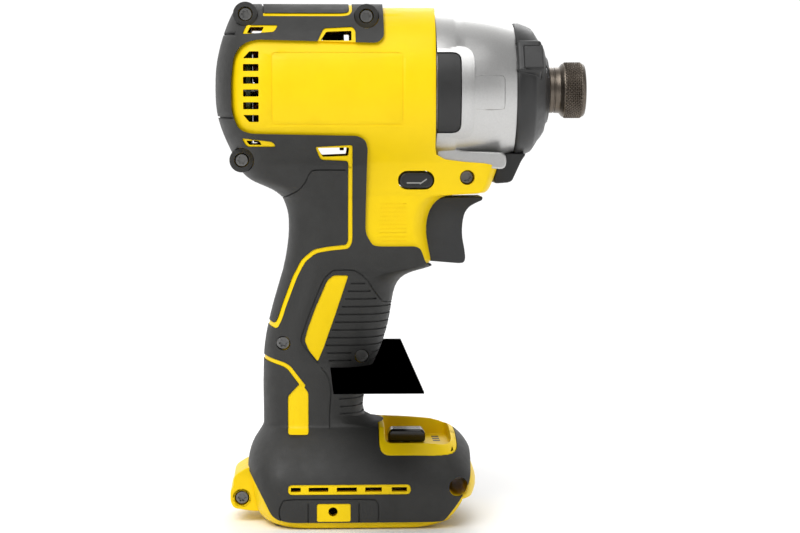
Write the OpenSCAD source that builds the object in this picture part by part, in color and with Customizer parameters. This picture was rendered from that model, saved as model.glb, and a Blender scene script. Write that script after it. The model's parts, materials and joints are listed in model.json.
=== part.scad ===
// Cordless impact driver, bare tool: clamshell body with rubber overmould, brushless motor,
// planetary gear, spring-loaded hammer and anvil, hex bit holder, trigger and mode selector.
// Millimetres. X runs forward along the spindle, Z is up, Y is to the left of the tool.

/* [Overall] */
// Length from the rear pad to the front of the bit collar
tool_l = 135; // [128:1:144]
// Height of the spindle axis over the base
axis_h = 156.5; // [150:0.5:165]
// Rise of the barrel top over the spindle axis
barrel_rise = 31; // [30:0.5:34]
// Width of the barrel over the rubber
barrel_w = 60; // [58:1:66]
// Width of the handle over the rubber
handle_w = 34; // [33:0.5:38]
// Width of the foot over the rubber
foot_w = 66; // [65:0.5:72]
// Height of the foot
foot_h = 34.6; // [34:0.2:37]

/* [Shell] */
// Thickness of the rubber overmould
rubber_t = 1.3; // [0.8:0.1:1.6]
// Wall of the plastic shell under the rubber
wall = 2.6; // [2:0.1:3]
// Clearance of a part seated in its pocket
seat_gap = 0.04; // [0.02:0.01:0.08]
// Clearance of a running or sliding round fit
run_gap = 0.05; // [0.02:0.01:0.08]
// Clearance between moving parts and the shell
free_gap = 0.4; // [0.3:0.05:0.6]

/* [Motor] */
// Outer diameter of the stator and of its bore in the shell
stator_d = 48; // [46:0.5:49]
// Length of the stator stack
stator_l = 16; // [14:0.5:16.5]
// Length of each winding end beyond the stack
winding_end = 4; // [3:0.1:4.4]
// Diameter of the rotor
rotor_d = 23; // [20:0.5:24]
// Air gap between rotor and stator teeth
air_gap = 0.5; // [0.4:0.1:1]
// Diameter of the motor shaft
shaft_d = 5; // [4:0.1:5.4]
// Outer diameter of the motor bearings
bearing_d = 16; // [14:0.5:17]
// Width of the motor bearings
bearing_w = 5; // [4:0.5:5]
// Diameter of the cooling fan
fan_d = 44; // [36:1:45]
// Width of the cooling fan
fan_w = 7.5; // [6:0.5:8]
// Number of fan blades
fan_blades = 11; // [7:1:13]
// Thickness of the circuit boards
board_t = 1.6; // [1:0.1:1.8]

/* [Gears] */
// Pitch diameter of the gears for each tooth
per_tooth_d = 0.75; // [0.7:0.01:0.78]
// Teeth of the pinion
sun_teeth = 9; // [9:3:9]
// Teeth of each planet gear
planet_teeth = 18; // [18:6:18]
// Width of the planet gears
gear_w = 8; // [6:0.5:8]
// Outer diameter of the ring gear and of the gear case bore
ring_d = 42; // [41:0.5:43]
// Diameter of the planet pins
pin_d = 5; // [4:0.2:5.6]
// Thickness of the planet carrier flange
carrier_t = 3.8; // [3:0.1:4]

/* [Impact] */
// Diameter of the cam shaft
cam_d = 16; // [15:0.2:16.4]
// Diameter of the hammer
hammer_d = 40; // [39:0.5:40.6]
// Length of the hammer without its lugs
hammer_l = 25; // [24:0.5:26]
// Height of the hammer lugs
lug_h = 4.6; // [4:0.1:5]
// Angle of each hammer lug
lug_angle = 50; // [40:1:55]
// Travel of the hammer against its spring
hammer_travel = 6.5; // [6:0.1:7]
// Turn of the hammer on the cam over its travel
hammer_turn = 36; // [30:1:38]
// Diameter of the cam balls
cam_ball_d = 5; // [4.6:0.1:5]
// Wire of the hammer spring
spring_wire = 2.6; // [2.2:0.1:2.8]

/* [Bit holder] */
// Width across the flats of the hex socket
hex_af = 6.4; // [6.35:0.01:6.5]
// Depth of the hex socket
hex_depth = 22; // [18:0.5:22.5]
// Diameter of the anvil shaft
anvil_d = 12; // [11.8:0.1:12.6]
// Thickness of the anvil wings
wing_t = 5.2; // [5:0.1:5.6]
// Diameter of the knurled bit collar
collar_d = 20.4; // [20:0.2:21]
// Diameter of the collar neck
collar_neck_d = 16.7; // [16.4:0.1:17]
// Length of the bit collar
collar_l = 13.3; // [13:0.1:14]
// Travel of the bit collar
collar_travel = 4; // [3:0.1:4.2]

/* [Controls] */
// Width of the trigger
trigger_w = 19; // [17:0.5:20]
// Travel of the trigger
trigger_travel = 6.5; // [5:0.1:6.6]
// Diameter of the trigger plunger
plunger_d = 6; // [5:0.2:6.4]
// Length of the direction button
button_l = 12.4; // [11:0.2:12.8]
// Height of the direction button
button_h = 6; // [5:0.1:6.4]
// Travel of the direction button to each side
button_travel = 3.5; // [3:0.1:4]
// Travel of the mode slider
mode_travel = 14; // [10:0.5:14.5]

/* [Foot] */
// Height of the battery bay
bay_h = 10; // [9:0.2:10.4]
// Width of the battery bay between the side walls
bay_w = 55; // [52:0.5:56]
// Inward reach of the battery rails
rail_reach = 4.5; // [3:0.1:5]
// Thickness of the battery rails
rail_t = 3.2; // [2.6:0.1:3.4]
// Diameter of the tether hole
tether_d = 6.8; // [6:0.1:7]
// Tapping diameter of the belt hook inserts
insert_bore_d = 3.3; // [3.2:0.1:3.6]
// Outer diameter of the belt hook inserts
insert_d = 5.4; // [5:0.1:5.6]

/* [Fasteners] */
// Shank diameter of the housing screws
screw_d = 3; // [2.6:0.1:3.2]
// Head diameter of the housing screws
screw_head_d = 5; // [4.6:0.1:5.2]
// Head height of the housing screws
screw_head_h = 2.2; // [1.8:0.1:2.4]

/* [Hidden] */
$fn = 64;
// Overrun of every cut
cut = 1;
// Reach of a cut that goes right through
far = 300;
barrel_drop = 30.5;
tool_h = axis_h + barrel_rise;
x_back = -tool_l / 2;
x_tip = tool_l / 2;

// Stations of the front group, from the tip backward
collar_x = x_tip - collar_l;
nose_x = collar_x - free_gap;
nose_skin = 1;
tube_x = nose_x - nose_skin;
nose_tube_l = 4.8;
case_wall = 3;
case_in_x = tube_x - nose_tube_l - case_wall;
washer_t = 0.8;
wing_x = case_in_x - washer_t - wing_t;
lug_gap = 0.8;
hammer_x1 = wing_x - lug_gap;
hammer_x0 = hammer_x1 - hammer_l;
spring_room = 3.7;
carrier_x1 = hammer_x0 - hammer_travel - spring_room;
carrier_x0 = carrier_x1 - carrier_t;
gear_x1 = carrier_x0 - 2 * free_gap;
gear_x0 = gear_x1 - gear_w;
plate_t = 7;
plate_x1 = gear_x0 - 2 * free_gap;
plate_x0 = plate_x1 - plate_t;
case_front_share = 0.0889;
case_x = case_front_share * tool_l;
bumper_share = 0.3022;
case_end_x = bumper_share * tool_l;

// Stations of the rear group, from the rear pad forward
rear_bearing_x = x_back + rubber_t + wall + free_gap;
chamber_x = rear_bearing_x + bearing_w / 2;
seat_setback = 11.6;
board_seat_x = x_back + seat_setback;
winding_x0 = board_seat_x + board_t + 2 * free_gap;
stator_x0 = winding_x0 + winding_end;
stator_x1 = stator_x0 + stator_l;
winding_x1 = stator_x1 + winding_end;
fan_x0 = winding_x1 + 3 * free_gap;
fan_x1 = fan_x0 + fan_w;
motor_bore_r = stator_d / 2 + seat_gap;
chamber_step = 4;
chamber_r = motor_bore_r - chamber_step;

// Body sections as [height, rear, front, half width, rear round, front round, squareness, lift]
foot_shares = [
  [0, -0.356, 0.107, 0.955, 0.55, 0.5, 3, 0],
  [0.046, -0.389, 0.153, 0.985, 0.55, 0.5, 3, 0],
  [0.13, -0.404, 0.179, 1, 0.55, 0.5, 3, 0],
  [0.26, -0.412, 0.201, 1, 0.55, 0.5, 3, 0],
  [0.39, -0.416, 0.213, 1, 0.55, 0.5, 3, 0],
  [0.491, -0.416, 0.21, 0.991, 0.55, 0.5, 3, 0],
  [0.607, -0.416, 0.2, 0.945, 0.55, 0.5, 2.8, -0.4],
  [0.723, -0.41, 0.19, 0.855, 0.6, 0.55, 2.6, -0.8],
  [0.824, -0.399, 0.175, 0.758, 0.65, 0.6, 2.5, -1],
  [0.91, -0.384, 0.153, 0.661, 0.75, 0.7, 2.4, -1],
  [0.965, -0.376, 0.129, 0.582, 0.85, 0.8, 2.3, -1],
  [1, -0.373, 0.101, 0.521, 0.95, 0.9, 2.2, -1]];
handle_shares = [
  [0.004, -0.373, -0.099, 0.982, 0.95, 0.9, 2.2, -1],
  [0.07, -0.373, -0.104, 0.959, 0.95, 0.9, 2.2, 0],
  [0.125, -0.374, -0.098, 0.953, 0.95, 0.9, 2.2, 0],
  [0.179, -0.374, -0.09, 0.959, 0.95, 0.9, 2.2, 0],
  [0.218, -0.373, -0.081, 0.965, 0.95, 0.9, 2.2, 0],
  [0.261, -0.373, -0.067, 0.976, 0.95, 0.9, 2.2, 0],
  [0.313, -0.371, -0.052, 0.988, 0.95, 0.9, 2.2, 0],
  [0.376, -0.364, -0.037, 1, 0.95, 0.9, 2.2, 0],
  [0.442, -0.354, -0.028, 1, 0.95, 0.9, 2.2, 0],
  [0.497, -0.344, -0.023, 1, 0.95, 0.9, 2.2, 0],
  [0.551, -0.333, -0.016, 1, 0.95, 0.9, 2.2, 0.2],
  [0.586, -0.326, 0, 0.994, 0.95, 0.9, 2.3, 0.7],
  [0.606, -0.322, 0.024, 0.988, 0.95, 0.85, 2.4, 0.7],
  [0.619, -0.319, 0.053, 0.988, 0.95, 0.75, 2.5, 0.7],
  [0.63, -0.318, 0.081, 0.988, 0.95, 0.65, 2.6, 0.7],
  [0.642, -0.316, 0.096, 0.988, 0.95, 0.6, 2.6, 0.5],
  [0.661, -0.313, 0.098, 0.994, 0.95, 0.6, 2.6, 0.2],
  [0.694, -0.309, 0.093, 1, 0.95, 0.6, 2.6, 0],
  [0.748, -0.304, 0.086, 1, 0.95, 0.6, 2.6, 0],
  [0.792, -0.303, 0.084, 1, 0.95, 0.6, 2.6, 0],
  [0.841, -0.304, 0.089, 1.006, 0.95, 0.6, 2.6, 0],
  [0.875, -0.311, 0.101, 1.018, 0.95, 0.6, 2.6, 0.3],
  [0.897, -0.317, 0.124, 1.024, 0.95, 0.6, 2.6, 1],
  [0.905, -0.32, 0.152, 1.029, 0.95, 0.6, 2.7, 1],
  [0.909, -0.322, 0.234, 1.035, 0.95, 0.5, 2.8, 1],
  [0.917, -0.327, 0.244, 1.047, 0.95, 0.5, 2.8, 1],
  [0.938, -0.345, 0.252, 1.065, 0.9, 0.5, 2.8, 1],
  [0.958, -0.378, 0.257, 1.088, 0.85, 0.5, 2.8, 1],
  [0.976, -0.407, 0.262, 1.118, 0.8, 0.5, 2.8, 1]];
barrel_shares = [
  [-0.974, -0.427, 0.267, 0.653, 0.75, 0.5, 2.8, 0.8],
  [-0.92, -0.436, 0.272, 0.672, 0.72, 0.5, 2.8, 0.7],
  [-0.87, -0.441, 0.277, 0.69, 0.7, 0.5, 2.8, 0.6],
  [-0.85, -0.443, 0.099, 0.7, 0.69, 0.03, 2.7, 0.6],
  [-0.694, -0.46, 0.099, 0.807, 0.64, 0.03, 2.6, 0.4],
  [-0.532, -0.478, 0.099, 0.903, 0.62, 0.03, 2.6, 0.2],
  [-0.339, -0.493, 0.099, 0.967, 0.62, 0.03, 2.6, 0],
  [-0.177, -0.499, 0.099, 0.993, 0.62, 0.03, 2.6, 0],
  [0.016, -0.5, 0.099, 1, 0.62, 0.03, 2.6, 0],
  [0.242, -0.499, 0.099, 0.983, 0.62, 0.03, 2.6, 0],
  [0.435, -0.491, 0.099, 0.933, 0.62, 0.03, 2.6, -0.2],
  [0.597, -0.481, 0.099, 0.857, 0.64, 0.03, 2.6, -0.4],
  [0.758, -0.468, 0.099, 0.733, 0.68, 0.03, 2.6, -0.6],
  [0.887, -0.455, 0.099, 0.553, 0.75, 0.03, 2.5, -0.8],
  [0.968, -0.443, 0.099, 0.383, 0.85, 0.03, 2.4, -0.9],
  [1, -0.433, 0.099, 0.267, 0.95, 0.03, 2.3, -1]];

// One section row in millimetres, moved inward by t
function row(s, z, half, t) = [z + s[7] * t, s[1] * tool_l + t, s[2] * tool_l - t, s[3] * half - t,
  s[4], s[5], s[6]];
handle_z0 = foot_h;
handle_zl = axis_h - barrel_drop - foot_h;
function body_rows(t) = concat(
  [for (s = foot_shares) row(s, s[0] * foot_h, foot_w / 2, t)],
  [for (s = handle_shares) row(s, handle_z0 + s[0] * handle_zl, handle_w / 2, t)],
  [for (s = barrel_shares) row(s, axis_h + s[0] * barrel_rise, barrel_w / 2, t)]);
// Points of a quarter of a section
quarter = 6;
function turn_at(j) = 90 * (j + 0.5) / (quarter - 0.5);
function bulge(v, n) = pow(abs(v), 2 / n);
function corner(r, j, rear) = let(rx = (rear ? r[4] : r[5]) * r[3], a = turn_at(j),
  in = j == 0 ? 0 : rx * (1 - bulge(cos(a), r[6])))
  [rear ? r[1] + in : r[2] - in, r[3] * bulge(sin(a), r[6])];
function section(r) = concat(
  [for (j = [0:quarter - 1]) let(p = corner(r, j, true)) [p[0], -p[1], r[0]]],
  [for (j = [quarter - 1:-1:0]) let(p = corner(r, j, false)) [p[0], -p[1], r[0]]],
  [for (j = [0:quarter - 1]) let(p = corner(r, j, false)) [p[0], p[1], r[0]]],
  [for (j = [quarter - 1:-1:0]) let(p = corner(r, j, true)) [p[0], p[1], r[0]]]);

// Closed skin through rings of equal point count
module skin(rings) {
  k = len(rings[0]);
  n = len(rings);
  polyhedron(points = [for (r = rings) each r], faces = concat(
    [[for (j = [0:k - 1]) j]],
    [for (i = [0:n - 2]) for (j = [0:k - 1]) [i * k + j, (i + 1) * k + j, (i + 1) * k + (j + 1) % k]],
    [for (i = [0:n - 2]) for (j = [0:k - 1]) [i * k + j, (i + 1) * k + (j + 1) % k, i * k + (j + 1) % k]],
    [[for (j = [k - 1:-1:0]) (n - 1) * k + j]]));
}
module body(t) skin([for (r = body_rows(t)) section(r)]);

// Inner room of foot and handle, from the bay ceiling to the motor bore
ceiling_t = 2.6;
room_z = bay_h + ceiling_t;
room_top = axis_h - motor_bore_r + cut;
shell_t = rubber_t + wall;
module inner_room() {
  rows = [for (r = body_rows(shell_t)) if (r[0] > room_z && r[0] < room_top) r];
  first = rows[0];
  last = rows[len(rows) - 1];
  low = [room_z, first[1], first[2], first[3], first[4], first[5], first[6]];
  top = [room_top, last[1], last[2], last[3], last[4], last[5], last[6]];
  skin([for (r = concat([low], rows, [top])) section(r)]);
}

// Placing helpers
module on_axis(x) translate([x, 0, axis_h]) rotate([0, 90, 0]) children();
module sleeve(x0, x1, r_out, r_in) on_axis(x0) difference() {
  cylinder(r = r_out, h = x1 - x0);
  translate([0, 0, -cut]) cylinder(r = r_in, h = x1 - x0 + 2 * cut);
}
module rod(x0, x1, r) on_axis(x0) cylinder(r = r, h = x1 - x0);
module side(y0, y1) translate([0, y1, 0]) rotate([90, 0, 0]) linear_extrude(height = y1 - y0) children();
module cross_rod(x, z, y0, y1, r) translate([x, y1, z]) rotate([90, 0, 0]) cylinder(r = r, h = y1 - y0);
module block(x0, x1, y0, y1, z0, z1) translate([x0, y0, z0]) cube([x1 - x0, y1 - y0, z1 - z0]);
function at(s) = [s[0] * tool_l, s[1] * tool_h];
module drawn(shares) polygon([for (s = shares) at(s)]);
module soft(r) offset(r = r, $fn = 24) offset(delta = -2 * r) offset(r = r, $fn = 24) children();

// Side outlines as shares of the length and the height of the tool
bumper_shares = [[-0.6, 1.1], [-0.051, 1.1], [-0.051, 0.934], [-0.068, 0.923], [-0.39, 0.929],
  [-0.425, 0.92], [-0.446, 0.898], [-0.453, 0.852], [-0.452, 0.792], [-0.435, 0.76], [-0.405, 0.751],
  [-0.12, 0.747], [-0.1, 0.739], [-0.094, 0.724], [-0.094, 0.69], [-0.6, 0.69]];
grip_shares = [[-0.6, 0.69], [-0.094, 0.69], [-0.099, 0.56], [-0.079, 0.536], [-0.058, 0.534],
  [0.035, 0.534], [0.05, 0.529], [0.067, 0.495], [0.2, 0.485], [0.3, 0.19], [0.19, 0.16], [0.182, 0.12],
  [0.178, 0.09], [0.145, 0.05], [0.115, 0.02], [0.105, 0.0095], [-0.3, 0.0095], [-0.335, 0.014],
  [-0.351, 0.025], [-0.372, 0.057], [-0.39, 0.08], [-0.412, 0.104], [-0.6, 0.104]];
// Palm pad bounded by the bright line of the handle
palm_shares = [[-0.6, 0.72], [-0.139, 0.72], [-0.139, 0.545], [-0.146, 0.534], [-0.199, 0.53],
  [-0.234, 0.525], [-0.264, 0.507], [-0.287, 0.475], [-0.317, 0.417], [-0.327, 0.394], [-0.338, 0.378],
  [-0.359, 0.384], [-0.6, 0.37]];
// Heel pad bounded by the second bright line
heel_shares = [[-0.6, 0.33], [-0.371, 0.316], [-0.317, 0.306], [-0.303, 0.3], [-0.271, 0.27],
  [-0.3, 0.25], [-0.307, 0.24], [-0.307, 0.16], [-0.6, 0.16]];
wedge_shares = [[-0.184, 0.479], [-0.143, 0.479], [-0.179, 0.402], [-0.21, 0.339], [-0.226, 0.311],
  [-0.25, 0.333], [-0.262, 0.353], [-0.253, 0.377], [-0.233, 0.416], [-0.201, 0.469]];
tab_shares = [[-0.272, 0.272], [-0.251, 0.252], [-0.251, 0.172], [-0.307, 0.172], [-0.307, 0.245]];
// Frames of the four air slots, and the slots in them
slot_frame_shares = [
  [[-0.424, 0.939], [-0.413, 0.957], [-0.328, 0.957], [-0.339, 0.943]],
  [[-0.231, 0.918], [-0.21, 0.951], [-0.133, 0.954], [-0.125, 0.946], [-0.125, 0.918]],
  [[-0.427, 0.743], [-0.413, 0.726], [-0.334, 0.726], [-0.344, 0.736]],
  [[-0.233, 0.726], [-0.135, 0.73], [-0.13, 0.685], [-0.153, 0.685], [-0.153, 0.7], [-0.218, 0.701]]];
slot_hole_shares = [
  [[-0.411, 0.941], [-0.403, 0.953], [-0.366, 0.953], [-0.374, 0.941]],
  [[-0.218, 0.927], [-0.202, 0.944], [-0.136, 0.946], [-0.136, 0.927]],
  [[-0.414, 0.738], [-0.406, 0.73], [-0.372, 0.73], [-0.38, 0.738]],
  [[-0.226, 0.724], [-0.142, 0.725], [-0.145, 0.709], [-0.212, 0.707]]];
// Foot side strip with vents, and the belt hook seat
strip_shares = [[-0.307, 0.067], [0.018, 0.067], [0.018, 0.0865], [-0.307, 0.0865]];
strip_slot_shares = [[-0.299, -0.273], [-0.252, -0.2], [-0.178, -0.125], [-0.103, -0.059], [-0.033,
  0.0075]];
hook_pad_shares = [[-0.231, 0.0155], [-0.141, 0.0155], [-0.141, 0.0505], [-0.231, 0.0505]];
rear_boss_shares = [[-0.38, 0.106], [-0.416, 0.106], [-0.452, 0.0895], [-0.456, 0.067], [-0.462, 0.0586],
  [-0.462, 0.0385], [-0.453, 0.026], [-0.402, 0.02], [-0.38, 0.02]];
vent_x_shares = [-0.421, -0.38];
vent_z_shares = [0.9, 0.876, 0.852, 0.828, 0.804, 0.78];
vent_h = 2.5;
line_w = 1.7;
soft_r = 1.2;

module lines_2d() {
  for (s = [palm_shares, heel_shares]) difference() {
    offset(r = line_w / 2) soft(soft_r) drawn(s);
    offset(delta = -line_w / 2) soft(soft_r) drawn(s);
  }
  soft(soft_r / 2) drawn(wedge_shares);
  soft(soft_r / 2) drawn(tab_shares);
}
module grip_2d() difference() {
  soft(soft_r) drawn(grip_shares);
  lines_2d();
  drawn(strip_shares);
  drawn(hook_pad_shares);
}
module bumper_2d() difference() {
  soft(soft_r) drawn(bumper_shares);
  for (s = slot_frame_shares) drawn(s);
}

// Housing screws as [length share, height share, half length of the boss]
screw_places = [
  [-0.416, 0.9787, 16.5], [-0.095, 0.975, 16.5], [-0.4275, 0.7, 15.5], [0.1735, 0.6667, 15],
  [-0.3185, 0.3467, 13.6], [-0.108, 0.3205, 12.4], [-0.431, 0.0459, 14]];
head_in = 1.2;
boss_r = 3.4;
boss_ring_r = 4.4;
head_pocket_r = screw_head_d / 2 + free_gap / 2;
screw_reach = 11;

// Foot interior places
tether_share = 0.1444;
tether_z_share = 0.0795;
hook_x_share = -0.188;
hook_z_share = 0.0347;
bay_x_share = -0.341;
tether_x = tether_share * tool_l;
tether_z = tether_z_share * tool_h;
hook_x = hook_x_share * tool_l;
hook_z = hook_z_share * tool_h;
bay_x = bay_x_share * tool_l;
tether_wall = 1.9;

// Mode selector: panel on the foot, tray, slider
panel_x0_share = -0.064;
panel_x1_share = 0.146;
panel_x0 = panel_x0_share * tool_l;
panel_x1 = panel_x1_share * tool_l;
panel_half_w = 25.5;
panel_corner = 4;
tray_wall = 1.2;
slider_l = 13.6;
slider_w = 9;
slider_x_share = 0.0137;
slider_x = slider_x_share * tool_l;
slider_rise = 4.7;
pocket_half_w = mode_travel / 2 + slider_w / 2 + free_gap;
pocket_half_l = slider_l / 2 + free_gap;
slider_drop = 1.9;
pocket_z = foot_h - slider_rise - slider_drop;
tray_half_w = pocket_half_w + tray_wall;
tray_half_l = pocket_half_l + tray_wall;
tray_z = pocket_z - tray_wall;
peg_w = 2.4;
slider_y = -mode_travel / 2;

// Trigger and switch
trigger_top_share = 0.6285;
trigger_low_share = 0.499;
trigger_top = trigger_top_share * tool_h;
trigger_low = trigger_low_share * tool_h;
trigger_shares = [[0.09, 0.61], [0.11, 0.627], [0.2195, 0.6285], [0.218, 0.62], [0.183, 0.609], [0.171,
  0.598],
  [0.1645, 0.577], [0.164, 0.553], [0.1705, 0.526], [0.173, 0.509], [0.169, 0.5], [0.155, 0.499],
  [0.09, 0.503]];
trigger_back_share = 0.037;
trigger_back = trigger_back_share * tool_l;
stem_x_share = 0.095;
stem_x = stem_x_share * tool_l;
stem_inset = 2.4;
plunger_z = (trigger_top + trigger_low) / 2;
switch_gap = 1.6;
switch_x1 = trigger_back - trigger_travel - switch_gap;
switch_l = 19;
switch_x0 = switch_x1 - switch_l;
switch_half_w = 10;
switch_low_gap = 2;
switch_top_gap = 1;
switch_z0 = trigger_low + switch_low_gap;
switch_z1 = trigger_top - switch_top_gap;
plunger_in = 5;
spring_round = 1.3;
trigger_spring_r = plunger_d / 2 + spring_round;
trigger_spring_wire = 0.9;
spring_pocket = 8;

// Direction button and lever
button_x_share = 0.037;
button_z_share = 0.6617;
button_x = button_x_share * tool_l;
button_z = button_z_share * tool_h;
button_out = 0.4;
button_half = handle_w / 2 + button_out;
lever_x_share = -0.085;
lever_x = lever_x_share * tool_l;
lever_t = 1.8;
lever_post_r = 1.5;
lever_pin_r = 2;
lever_pin_l = 3;
lever_slack = 0.35;
lever_slot_half = lever_post_r + lever_slack;
lever_slot_l = 3.6;

// Gears
pressure_angle = 25;
gear_slack = 1.6;
ring_teeth = sun_teeth + 2 * planet_teeth;
gear_centre = per_tooth_d * (sun_teeth + planet_teeth) / 2;
tip_share = 0.8;
root_share = 1.05;
function inv(a) = (tan(a) - a * PI / 180) * 180 / PI;
function flank(r, z, half) = let(rp = per_tooth_d * z / 2, rb = rp * cos(pressure_angle),
  a = r > rb ? acos(rb / r) : 0) half + inv(pressure_angle) - inv(a);
flank_shares = [0, 0.3, 0.55, 0.8, 1];
function gear_outline(z, r0, r1, half) = [for (i = [0:z - 1]) let(c = i * 360 / z) each concat(
  [for (s = flank_shares) let(r = r0 + s * (r1 - r0), a = c - flank(r, z, half)) [r * cos(a),
    r * sin(a)]],
  [for (j = [len(flank_shares) - 1:-1:0]) let(r = r0 + flank_shares[j] * (r1 - r0),
    a = c + flank(r, z, half)) [r * cos(a), r * sin(a)]])];
module gear_2d(z) polygon(gear_outline(z, per_tooth_d * (z / 2 - root_share),
  per_tooth_d * (z / 2 + tip_share),
  90 / z - gear_slack * sun_teeth / z / 2));
module ring_space_2d() rotate(180 / ring_teeth) polygon(gear_outline(ring_teeth,
  per_tooth_d * (ring_teeth / 2 - tip_share), per_tooth_d * (ring_teeth / 2 + root_share), 90 / ring_teeth));
planet_step = 120;

// Helical wire of a spring along the local Z axis
spring_sides = 6;
rings_per_turn = 12;
module coil(r, wire, length, turns) {
  n = turns * rings_per_turn;
  rise = (length - wire) / n;
  echo(least_gap = rise * rings_per_turn - wire);
  skin([for (i = [0:n]) let(a = i * 360 / rings_per_turn) [for (j = [0:spring_sides - 1])
    let(b = -j * 360 / spring_sides, q = r + wire / 2 * cos(b))
    [q * cos(a), q * sin(a), wire / 2 + i * rise + wire / 2 * sin(b)]]]);
}

// Round lead through the points of its route, held upright at its ends
lead_sides = 8;
function blend(p, i, s) = let(a = p[max(i - 1, 0)], b = p[i], c = p[i + 1], d = p[min(i + 2, len(p) - 1)])
  0.5 * (2 * b + (c - a) * s + (2 * a - 5 * b + 4 * c - d) * s * s + (3 * b - a - 3 * c + d) * s * s * s);
route_steps = 4;
function smooth_route(p) = concat([for (i = [0:len(p) - 2]) for (k = [0:route_steps - 1])
  blend(p, i, k / route_steps)], [p[len(p) - 1]]);
module lead(route, r) {
  p = smooth_route(route);
  n = len(p) - 1;
  skin([for (i = [0:n]) let(d = p[min(i + 1, n)] - p[max(i - 1, 0)], u = d / norm(d), v = [0, 1, 0],
    w = cross(v, u)) [for (j = [0:lead_sides - 1]) let(b = j * 360 / lead_sides)
    p[i] + r * (cos(b) * v + sin(b) * w)]]);
}

// Outer form of the gear case along the axis, grown by g
case_rear_wall = 7.7;
case_edge_wall = 7.4;
case_mid_wall = 5.6;
case_front_wall = 2.8;
case_r_rear = ring_d / 2 + case_rear_wall;
case_r_front = ring_d / 2 + case_front_wall;
case_spigot_r = stator_d / 2;
case_edge_r = ring_d / 2 + case_edge_wall;
case_edge_l = 6;
case_mid_r = ring_d / 2 + case_mid_wall;
case_mid_l = 18;
module case_form(g) rotate_extrude($fn = 96) polygon([[0, case_x - g], [case_r_rear + g, case_x - g],
  [case_edge_r + g, case_x + case_edge_l], [case_mid_r + g, case_x + case_mid_l],
  [case_r_front + g, case_end_x + g], [0, case_end_x + g]]);

// Half shell: plastic body under the rubber with its bosses, ribs, bores and windows
module half_space(s) block(-far, far, s < 0 ? -far : 0, s < 0 ? 0 : far, -cut, far);
module boss_rods(r, s) for (p = screw_places) let(q = at(p))
  cross_rod(q[0], q[1], s < 0 ? -p[2] : 0, s < 0 ? 0 : p[2], r);
rib_t = 2.4;
bearing_cup_wall = 2;
hook_pad_inset = 0.3;
module shell_half(s) {
  y0 = s < 0 ? -far : 0;
  y1 = s < 0 ? 0 : far;
  rib_y0 = s < 0 ? -handle_w / 2 + shell_t / 2 : switch_half_w + seat_gap;
  rib_y1 = s < 0 ? -switch_half_w - seat_gap : handle_w / 2 - shell_t / 2;
  difference() {
    union() {
      difference() {
        intersection() {
          body(rubber_t);
          half_space(s);
        }
        inner_room();
        rod(board_seat_x, far, motor_bore_r);
        rod(chamber_x, board_seat_x + cut, chamber_r);
      }
      boss_rods(boss_r, s);
      side(s < 0 ? -screw_places[6][2] : 0, s < 0 ? 0 : screw_places[6][2]) soft(soft_r)
        drawn(rear_boss_shares);
      intersection() {
        sleeve(chamber_x - cut, rear_bearing_x + bearing_w, bearing_d / 2 + bearing_cup_wall,
          bearing_d / 2 + seat_gap);
        half_space(s);
      }
      intersection() {
        cross_rod(tether_x, tether_z, s < 0 ? -bay_w / 2 - cut : 0, s < 0 ? 0 : bay_w / 2 + cut,
          tether_d / 2 + tether_wall);
        body(rubber_t);
      }
      for (x = [switch_x0 + rib_t, switch_x1 - 2 * rib_t])
        block(x, x + rib_t, rib_y0, rib_y1, switch_z0 + rib_t, switch_z1 - rib_t);
      side(s < 0 ? hook_pad_inset - foot_w / 2 : bay_w / 2,
        s < 0 ? -bay_w / 2 : foot_w / 2 - hook_pad_inset)
        drawn(hook_pad_shares);
    }
    rod(rear_bearing_x, rear_bearing_x + bearing_w + cut, bearing_d / 2 + seat_gap);
    on_axis(0) case_form(free_gap / 2);
    rod(board_seat_x, case_x + cut, motor_bore_r);
    for (p = screw_places) let(q = at(p)) {
      cross_rod(q[0], q[1], -p[2] - cut, screw_reach + cut, screw_d / 2 + seat_gap);
      cross_rod(q[0], q[1], -far, -p[2] + head_in + screw_head_h, head_pocket_r);
    }
    cross_rod(tether_x, tether_z, -far, far, tether_d / 2);
    cross_rod(hook_x, hook_z, -far, far, insert_d / 2 + seat_gap / 2);
    block(bay_x, far, -bay_w / 2, bay_w / 2, rail_t, bay_h);
    block(bay_x, far, -bay_w / 2 + rail_reach, bay_w / 2 - rail_reach, -cut, bay_h);
    block(slider_x - tray_half_l - seat_gap, slider_x + tray_half_l + seat_gap, -tray_half_w - seat_gap,
      tray_half_w + seat_gap, room_z + cut, foot_h + cut);
    block(trigger_back - trigger_travel - cut, far, -trigger_w / 2 - free_gap, trigger_w / 2 + free_gap,
      trigger_low - free_gap, trigger_top + free_gap);
    side(-far, far) translate([button_x, button_z]) stadium(button_l + 2 * free_gap,
      button_h + 2 * free_gap);
    for (z = vent_z_shares) block(vent_x_shares[0] * tool_l, vent_x_shares[1] * tool_l, y0, y1,
      z * tool_h - vent_h / 2, z * tool_h + vent_h / 2);
    for (h = slot_hole_shares) side(-far, far) drawn(h);
    for (v = strip_slot_shares) block(v[0] * tool_l, v[1] * tool_l, y0, y1,
      strip_shares[0][1] * tool_h + 0.4 * wall, strip_shares[2][1] * tool_h - 0.4 * wall);
  }
}
module stadium(l, h) union() {
  square([l - h, h], center = true);
  for (x = [-1, 1]) translate([x * (l - h) / 2, 0]) circle(d = h);
}
module housing_right() color("gold") shell_half(-1);
module housing_left() color("gold") shell_half(1);

// Rubber overmould: layer between the body forms inside its side outline
module screw_pockets() for (p = screw_places) let(q = at(p))
  cross_rod(q[0], q[1], -far, far, boss_r + seat_gap);
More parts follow.
